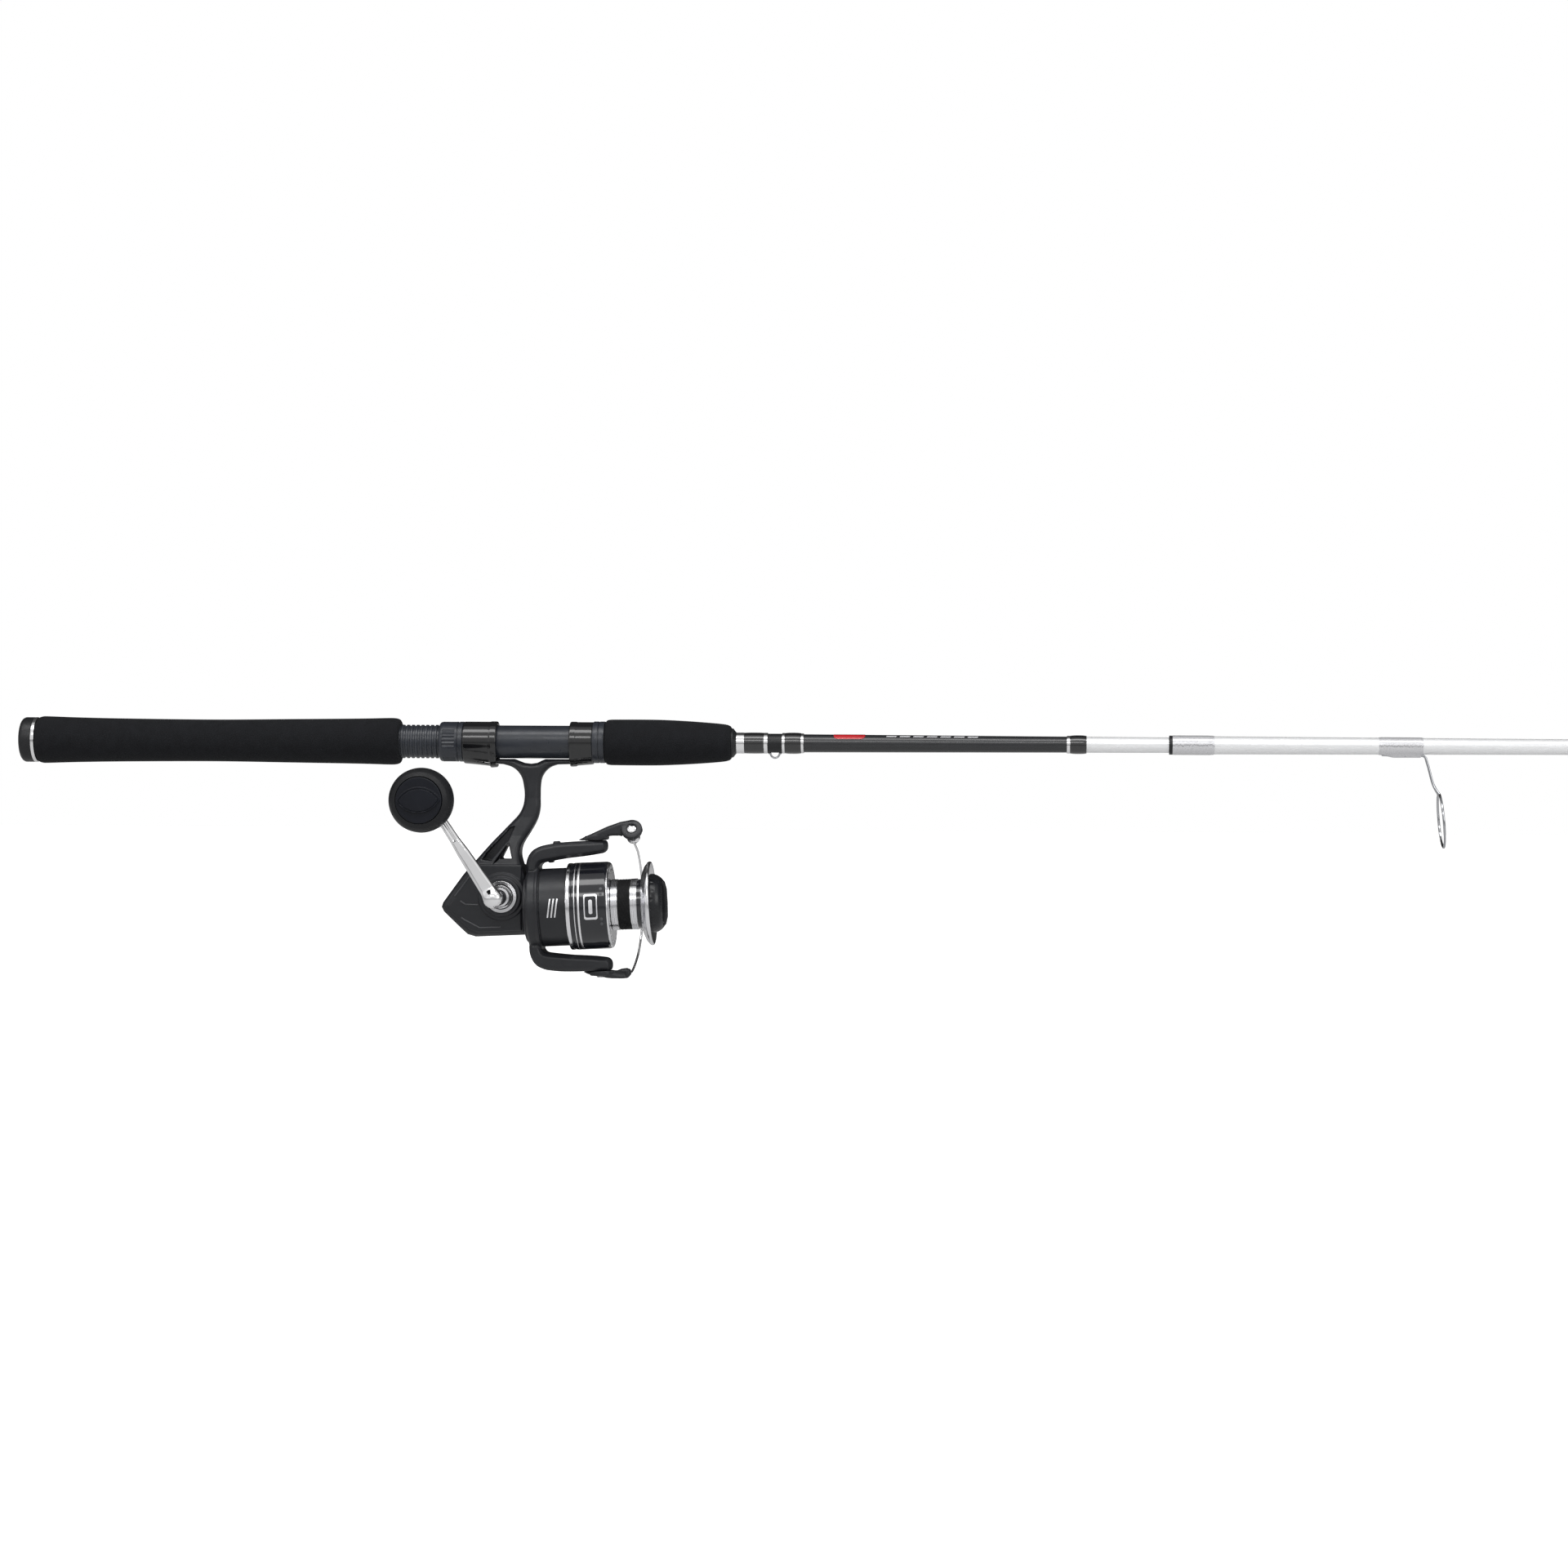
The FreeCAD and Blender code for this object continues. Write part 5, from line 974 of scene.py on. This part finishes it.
def grip_profile(points, bore):
    """Closed outline of a foam grip: a smooth outer curve and a straight bore."""
    outer = catmull(points, 6)
    return [(outer[0].x, bore)] + outer + [(outer[-1].x, bore)]


def build_grips():
    """The two foam grips."""
    rear = [(10.7, 13.2), (11.6, 14.3), (13.4, 14.9), (17.0, 15.05), (38.0, 14.4), (70.0, 13.85),
            (126.0, 13.45), (177.0, 14.0), (219.0, 14.5), (238.0, 14.95), (243.4, 14.8), (245.8, 14.0),
            (246.5, 13.0)]
    finish_piece(lathe("rear_foam", grip_profile(rear, 7.0), 128, 0.0), "root", FOAM,
                 replaces="rear_grip")
    fore = [(378.8, 13.0), (379.6, 14.0), (381.4, 14.45), (386.0, 14.6), (411.0, 14.6), (430.0, 13.85),
            (446.0, 12.75), (454.6, 11.9), (458.0, 11.0), (459.2, 9.8)]
    finish_piece(lathe("fore_foam", grip_profile(fore, 6.1), 128, 0.0), "root", FOAM, replaces="foregrip")


def build_butt():
    """Butt cap and its bright ring."""
    cap = [(0.5, 0.0), (0.5, 4.2), (0.0, 5.2), (0.0, 11.6), (0.5, 12.9), (1.3, 13.8), (2.5, 14.4),
           (7.9, 14.4), (8.2, 14.1), (8.2, 6.9), (3.0, 6.9), (3.0, 0.0)]
    finish_piece(lathe("cap_shell", cap, 128, 0.5), "root", SATIN_BLACK, replaces="butt_cap")
    ring = [(8.2, 6.9), (8.2, 14.0), (8.5, 14.4), (10.3, 14.4), (10.6, 14.0), (10.6, 6.9)]
    finish_piece(lathe("cap_ring", ring, 128, 0.2), "root", CHROME, replaces="butt_trim_ring")


def hood_field(x0, x1, low, lip_x0, lip_x1, lip_low, bore):
    """Round collar drawn down over the reel foot, with a thicker lip at its open end."""
    field = Field((x0 - 1, -14.6, -18), (x1 + 1, 14.6, 14.6), 0.45)
    radial = field.radial
    for a, b, bottom, grow in ((x0, x1, low, 0.0), (lip_x0, lip_x1, lip_low, 0.25)):
        reach = np.clip((field.x - a) / (b - a), 0, 1)
        depth = bottom[0] + (bottom[1] - bottom[0]) * reach
        lobe = np.sqrt(field.y ** 2 + (field.z - (depth + 8.4)) ** 2) - 8.4
        shape = field.soft_min(radial - (13.2 + grow), lobe, 4.0) + 0.35
        field.add(field.both(shape, field.slab("x", a, b), 0.7))
    field.carve(radial - bore)
    return field


def foot_space(field, grow):
    """Room for the reel foot under the seat."""
    low = np.interp(field.x, [295.5, 309.3, 356.0, 367.5], [-12.2, -14.1, -14.1, -12.4]) - grow
    room = np.maximum(np.abs(field.y) - 5.6 - grow, np.maximum(low - field.z, field.z))
    return np.maximum(room, field.slab("x", 295.5 - grow, 367.5 + grow))


def build_hoods():
    """The sliding hood with its key and neck, and the fixed hood."""
    field = hood_field(287.6, 309.3, (-13.2, -16.4), 304.6, 309.3, (-16.9, -16.5), 10.9)
    field.carve(foot_space(field, 0.25))
    field.add(np.maximum(np.maximum(np.abs(field.y) - 1.4, field.slab("x", 288.2, 306.0)),
                         field.slab("z", 9.7, 11.4)))
    finish_piece(field.mesh("rear_hood"), "hood", GLOSS_BLACK, replaces="sliding_hood", smooth_deg=50)
    neck = [(277.4, 10.9), (277.4, 11.7), (287.7, 11.7), (287.7, 10.9)]
    finish_piece(lathe("rear_hood_neck", neck, 96, 0.1), "hood", GLOSS_BLACK)
    field = hood_field(356.0, 371.0, (-15.6, -13.7), 356.0, 360.4, (-15.9, -15.7), 10.5)
    field.carve(foot_space(field, 0.1))
    finish_piece(field.mesh("front_hood"), "root", GLOSS_BLACK, replaces="fixed_hood", smooth_deg=50)


def build_blank_trim():
    """Silver paint at the ferrule, the winding check and the varnished threads."""
    x0, x1 = DARK_END_X, FERRULE_X - 0.2
    paint = [(x0, blank_radius(x0) - 0.3), (x0, blank_radius(x0) + 0.03), (x1, blank_radius(x1) + 0.03),
             (x1, blank_radius(x1) - 0.3)]
    finish_piece(lathe("butt_silver_paint", paint, 64, 0.0), "root", BLANK_SILVER)
    check = [(459.2, 6.0), (459.2, 9.2), (459.7, 9.4), (460.5, 9.1), (461.6, 7.6), (462.4, 6.7),
             (462.4, 6.0)]
    finish_piece(lathe("check_ring", check, 96, 0.2), "root", SATIN_BLACK, replaces="winding_check")
    for index, (a, b, r) in enumerate(BANDS):
        band = [(a, r - 0.9), (a, r - 0.12), (a + 0.25, r), (b - 0.25, r), (b, r - 0.12), (b, r - 0.9)]
        finish_piece(lathe(f"silver_band_{index}", band, 96, 0.1), "root", CHROME,
                     replaces="silver_bands" if index == 0 else None)
    for index, (a, b, r, crown) in enumerate(WRAPS):
        steps = 12
        outer = []
        for step in range(steps + 1):
            t = step / steps
            bulge = 1 - abs(2 * t - 1) ** 3
            outer.append((a + (b - a) * t, r - crown + crown * bulge))
        wrap = [(a, blank_radius(a) - 0.2)] + outer + [(b, blank_radius(b) - 0.2)]
        finish_piece(lathe(f"gloss_wrap_{index}", wrap, 96, 0.0), "root", GLOSS_WRAP,
                     replaces="gloss_wraps" if index == 0 else None)
    # Plain red mark and a row of pale dashes printed along the top of the blank.
    x, width = 534.5, 20.0
    r = blank_radius(x)
    finish_piece(wrap_plate("blank_mark", x, width, r * math.radians(30), r * math.radians(100), r, 0.14,
                            corner=2.6, rows=20), "root", BADGE_RED, smooth_deg=30)
    for index in range(7):
        x = 561.0 + 8.6 * index
        r = blank_radius(x)
        finish_piece(wrap_plate(f"blank_dash_{index}", x, 6.4, r * math.radians(50), r * math.radians(60),
                                r, 0.10, slant=0.5, rows=3), "root", PRINT_WHITE, smooth_deg=30)


build_grips()
build_butt()
build_hoods()
build_blank_trim()


SEAT_START = 246.5
SEAT_END = 378.4
THREAD_END = 306.5
PITCH = 3.1
CREST_R = 10.8
ROOT_R = 10.1
GROUP_MIDDLE = 281.0
RIB_PITCH = 11.0


def build_seat():
    """Threaded barrel with a keyway along its top, and the lock nut with its groups of ribs."""
    heights = {}
    x = SEAT_START + 0.2
    while x < THREAD_END:
        for step, r in ((0.0, ROOT_R), (0.7, ROOT_R), (1.0, CREST_R - 0.1), (1.2, CREST_R),
                        (2.2, CREST_R), (2.4, CREST_R - 0.1), (2.7, ROOT_R)):
            heights[round(x + step, 3)] = r
        x += PITCH
    stations = [SEAT_START] + sorted(heights) + [THREAD_END + 3.0, SEAT_END]

    def barrel_radius(x, angle):
        r = heights.get(round(x, 3), SEAT_R if x > THREAD_END else ROOT_R)
        off_top = abs(math.sin(angle)) * r
        in_keyway = math.cos(angle) > 0 and off_top < 1.6 and 248.0 < x < THREAD_END + 1.0
        return min(r, 9.4) if in_keyway else r

    finish_piece(turned("seat_barrel", stations, barrel_radius, 7.0, 360), "root", SEAT_GRAPHITE,
                 replaces="reel_seat_barrel", smooth_deg=40)

    start, end, r_nut = 272.3, 287.5, 12.8
    ribs_x0, ribs_x1 = start + 2.6, end - 5.0
    stations = [start, start + 0.25, start + 0.9, ribs_x0 - 0.2, ribs_x0, ribs_x0 + 0.4, ribs_x1 - 0.4,
                ribs_x1, ribs_x1 + 0.2, end - 3.6, end - 3.35, end - 2.75, end - 2.5, end - 0.3, end]
    outer = [11.6, 12.0, 12.5, 12.75, 12.75, 12.75, 12.75, 12.75, 12.75, 12.75, 12.2, 12.2, 12.8, 12.8,
             12.5]
    shape = dict(zip(stations, outer))

    def nut_radius(x, angle):
        r = shape[x]
        if ribs_x0 <= x <= ribs_x1:
            turn = (math.degrees(angle) - GROUP_MIDDLE + 45.0) % 90.0 - 45.0
            if abs(turn) < 2.5 * RIB_PITCH:
                r -= 0.55 * (0.5 + 0.5 * math.cos(2 * math.pi * turn / RIB_PITCH))
        return min(r, r_nut)

    segments = 720 if PRETTY else 480
    finish_piece(turned("nut_body", stations, nut_radius, 11.0, segments), "hood", SEAT_GRAPHITE,
                 replaces="lock_nut", smooth_deg=40)
    groove = [(371.0, 10.5), (371.0, 13.1), (371.3, 13.3), (374.2, 13.3), (374.45, 13.1), (374.5, 12.6),
              (374.9, 12.6), (374.95, 13.1), (375.2, 13.3), (378.1, 13.3), (378.4, 13.1), (378.4, 10.5)]
    finish_piece(lathe("hood_ring_pair", groove, 128, 0.0), "root", SEAT_GRAPHITE,
                 replaces="hood_trim_rings")


TIP_BASE_R = 5.85
TIP_KNEE = (905.0, 5.2)
TIP_END = (2134.0, 1.15)
GUIDES = ((907.5, 35.5, 46.7), (1254.0, 25.0, 31.0), (1524.0, 16.0, 20.0), (1724.0, 12.5, 15.5),
          (1894.0, 10.5, 13.0), (2024.0, 9.5, 12.0))
GUIDE_NODES = {0: "stripper_guide", 1: "second_guide", 2: "running_guides"}
GUIDE_LEAN = math.radians(5.3)


def tip_radius(x):
    """Outer radius of the tip section's blank."""
    if x < TIP_KNEE[0]:
        share = (x - FERRULE_X) / (TIP_KNEE[0] - FERRULE_X)
        return TIP_BASE_R + (TIP_KNEE[1] - TIP_BASE_R) * share
    share = (x - TIP_KNEE[0]) / (TIP_END[0] - TIP_KNEE[0])
    return TIP_KNEE[1] + (TIP_END[1] - TIP_KNEE[1]) * share


def guide_wrap(name, x0, x1, foot_r, foot_from, grow):
    """Thread wound over a guide's foot: a thin sleeve with a hump below that rises along the foot."""
    count = 28
    stations = [x0 + (x1 - x0) * index / count for index in range(count + 1)]

    def radius(x, angle):
        edge = min(x - x0, x1 - x, 1.2) / 1.2
        r = tip_radius(x) + grow * (0.35 + 0.65 * edge)
        rise = min(max((x - foot_from) / 7.0, 0.0), 1.0) * edge
        below = (math.pi - abs(math.pi - angle)) - math.pi
        spread = 1.7 * foot_r / r
        return r + 1.75 * foot_r * rise * math.exp(-(below / spread) ** 2)

    return turned(name, stations, radius, tip_radius(x1) - 0.4, 96)


def build_guides():
    """Six single-foot wire guides: a leaning ring carried on two wires that meet on the blank."""
    normal = Vector((math.cos(GUIDE_LEAN), 0, math.sin(GUIDE_LEAN)))
    up = Vector((-math.sin(GUIDE_LEAN), 0, math.cos(GUIDE_LEAN)))
    for index, (x, across, drop) in enumerate(GUIDES):
        wire = 0.25 + 0.014 * across
        ring_r = across / 2 - wire
        centre = Vector((x, 0, -drop))
        foot_z = -(tip_radius(x) + (wire + 0.15) * 0.9)
        foot_x0 = x - 1.05 * across
        rim = []
        for turn in turns(72):
            rim.append(centre + up * ring_r * math.cos(turn) + Vector((0, ring_r * math.sin(turn), 0)))
        finish_piece(tube_along(f"guide_frame_{index}", rim, [wire] * 72, 14, closed=True, up=normal),
                     "tip_section", GUIDE_STEEL, replaces=GUIDE_NODES.get(index), smooth_deg=60)
        for side in (-1, 1):
            y = side * wire * 0.95
            spread = math.radians(15) * side
            top = centre + up * ring_r * math.cos(spread) + Vector((0, ring_r * math.sin(spread), 0))
            path = [(foot_x0, y, foot_z), (foot_x0 + 0.4 * across, y, foot_z),
                    (x - 0.33 * across, y, foot_z), (x - 0.25 * across, y * 1.05,
                                                     foot_z - 0.12 * (drop + foot_z)),
                    (x - 0.15 * across, y * 1.8, foot_z - 0.5 * (drop + foot_z) + 0.08 * across), top]
            curve = catmull(path, 7)
            radii = [wire * min(1.0, 0.35 + 0.65 * (p.x - foot_x0) / (0.4 * across)) for p in curve]
            finish_piece(tube_along(f"guide_leg_{index}{'r' if side > 0 else 'l'}", curve, radii, 12),
                         "tip_section", GUIDE_STEEL, smooth_deg=60)
        finish_piece(guide_wrap(f"guide_winding_{index}", foot_x0 - 2.0, x - 0.33 * across, wire + 0.15,
                                foot_x0, 0.35), "tip_section", SILVER_WRAP,
                     replaces="guide_wraps" if index == 0 else None, smooth_deg=60)
    x0, x1 = 738.9, 765.2
    outer = [(x0, 6.05), (x0 + 0.6, 6.18), (x1 - 4.0, 6.18), (x1 - 1.0, 6.05), (x1, tip_radius(x1) + 0.1)]
    sleeve = [(x0, 5.6)] + outer + [(x1, 5.6)]
    finish_piece(lathe("ferrule_winding", sleeve, 96, 0.0), "tip_section", SILVER_WRAP,
                 replaces="ferrule_wrap", smooth_deg=60)


KEEPER_X = 487.05


def build_keeper():
    """Open wire loop under the blank for parking a hook, with its two feet under a thread winding."""
    wire, loop_r, foot_z = 0.6, 2.9, -6.47
    path = [Vector((KEEPER_X - 4.0, 0, foot_z)), Vector((KEEPER_X - 3.3, 0, foot_z))]
    for step in range(13):
        turn = math.pi * step / 12
        path.append(Vector((KEEPER_X - loop_r * math.cos(turn), 0, foot_z - loop_r * math.sin(turn))))
    path += [Vector((KEEPER_X + 3.3, 0, foot_z)), Vector((KEEPER_X + 4.0, 0, foot_z))]
    finish_piece(tube_along("keeper_wire", path, [wire] * len(path), 14), "root", GUIDE_STEEL,
                 replaces="hook_keeper", smooth_deg=60)

    def radius(x, angle):
        inside = min(abs(x - KEEPER_X) - loop_r, 1.0)
        below = (math.pi - abs(math.pi - angle)) - math.pi
        edge = min(x - 482.5, 491.6 - x, 0.6) / 0.6
        hump = 1.05 * max(inside, 0.0) * math.exp(-(below / 0.16) ** 2)
        return 5.95 + 0.1 * edge + hump * edge

    stations = [482.5 + 9.1 * index / 32 for index in range(33)]
    finish_piece(turned("keeper_winding", stations, radius, 5.7, 96), "root", SATIN_BLACK,
                 replaces="keeper_wrap", smooth_deg=60)


build_seat()
build_guides()
build_keeper()


# Every CAD node that stays visible gets the material of its slot.
for subpart in frame["record"]["subparts"]:
    mesh = frame["nodes"][subpart["node"]].data
    slot = subpart["material_slot"]
    mesh.materials.clear()
    mesh.materials.append(MATERIALS["foam" if slot == "eva_foam" else slot])


# ---------------------------------------------------------------- studio
def area_light(name, place, target, size, power):
    """Soft box at place aimed at target; places in metres."""
    light = bpy.data.lights.new(name, "AREA")
    light.shape = "RECTANGLE"
    light.size, light.size_y = size
    light.energy = power
    lamp = bpy.data.objects.new(name, light)
    lamp.location = place
    aim = Vector(target) - Vector(place)
    lamp.rotation_euler = aim.to_track_quat("-Z", "Y").to_euler()
    SCENE.collection.objects.link(lamp)


# Brightness of the surround from straight in front of the object (0) to straight behind it (1).
SURROUND = ((0.0, 0.62), (0.08, 0.80), (0.30, 0.80), (0.50, 0.55), (0.60, 0.10), (0.999, 0.03))


def studio():
    """Bright surround on the near side, dark on the far side, and white behind the object."""
    world = bpy.data.worlds.new("studio")
    SCENE.world = world
    n = Nodes(world)
    place = n.add("ShaderNodeTexCoord").outputs["Generated"]
    toward_back = n.add("ShaderNodeSeparateXYZ", {"Vector": place}).outputs["Y"]
    share = n.remap(toward_back, 0.0, 1.0, -1.0, 1.0)
    ramp = n.add("ShaderNodeValToRGB", {"Fac": share})
    elements = ramp.color_ramp.elements
    while len(elements) < len(SURROUND):
        elements.new(0.5)
    for element, (position, level) in zip(elements, SURROUND):
        element.position = position
        element.color = (level, level, level, 1)
    to_camera = n.add("ShaderNodeLightPath").outputs["Is Camera Ray"]
    strength = n.math("MAXIMUM", to_camera, ramp.outputs["Color"])
    n.fill(n.tree.nodes["Background"], {"Color": (1, 1, 1, 1), "Strength": strength})
    area_light("top_box", (0.45, -0.7, 1.5), (0.45, 0, 0), (2.4, 0.5), 14)
    area_light("front_box", (0.2, -2.2, 1.2), (0.4, 0, -0.05), (1.8, 0.4), 9)
    area_light("tip_box", (2.0, -0.9, 0.5), (0.9, 0, 0), (0.6, 0.9), 4)


def floor():
    """Pale floor well below the object. It shows white to the camera."""
    size, drop = 30.0, 0.42
    mesh = bpy.data.meshes.new("floor")
    mesh.from_pydata([(-size, -size, -drop), (size, -size, -drop), (size, size, -drop),
                      (-size, size, -drop)], [], [(0, 1, 2, 3)])
    m = new_nodes("floor")
    to_camera = m.add("ShaderNodeLightPath").outputs["Is Camera Ray"]
    m.shade(Base_Color=(0.75, 0.75, 0.75, 1), Roughness=0.9, Specular_IOR_Level=0.0,
            Emission_Color=(1, 1, 1, 1), Emission_Strength=to_camera)
    mesh.materials.append(m.owner)
    plane = bpy.data.objects.new("floor", mesh)
    SCENE.collection.objects.link(plane)


def camera():
    """Long lens a little towards the tip, level with the seat, turned back to the object."""
    eye = Vector((0.66444, -2.444, -0.02595))
    aim = Vector((0.49284, 0.0, -0.02595))
    roll = math.radians(0.33)
    data = bpy.data.cameras.new("camera")
    data.sensor_width = 36.0
    data.lens = 18.0 / math.tan(math.radians(23.033 / 2))
    data.clip_end = 100.0
    obj = bpy.data.objects.new("camera", data)
    forward = (aim - eye).normalized()
    right = forward.cross(Vector((0, 0, 1))).normalized()
    up = right.cross(forward)
    right, up = (right * math.cos(roll) + up * math.sin(roll),
                 up * math.cos(roll) - right * math.sin(roll))
    rotation = Matrix((right, up, -forward)).transposed()
    obj.matrix_world = Matrix.Translation(eye) @ rotation.to_4x4()
    SCENE.collection.objects.link(obj)
    SCENE.camera = obj


studio()
floor()
camera()
SCENE.view_settings.view_transform = "Standard"
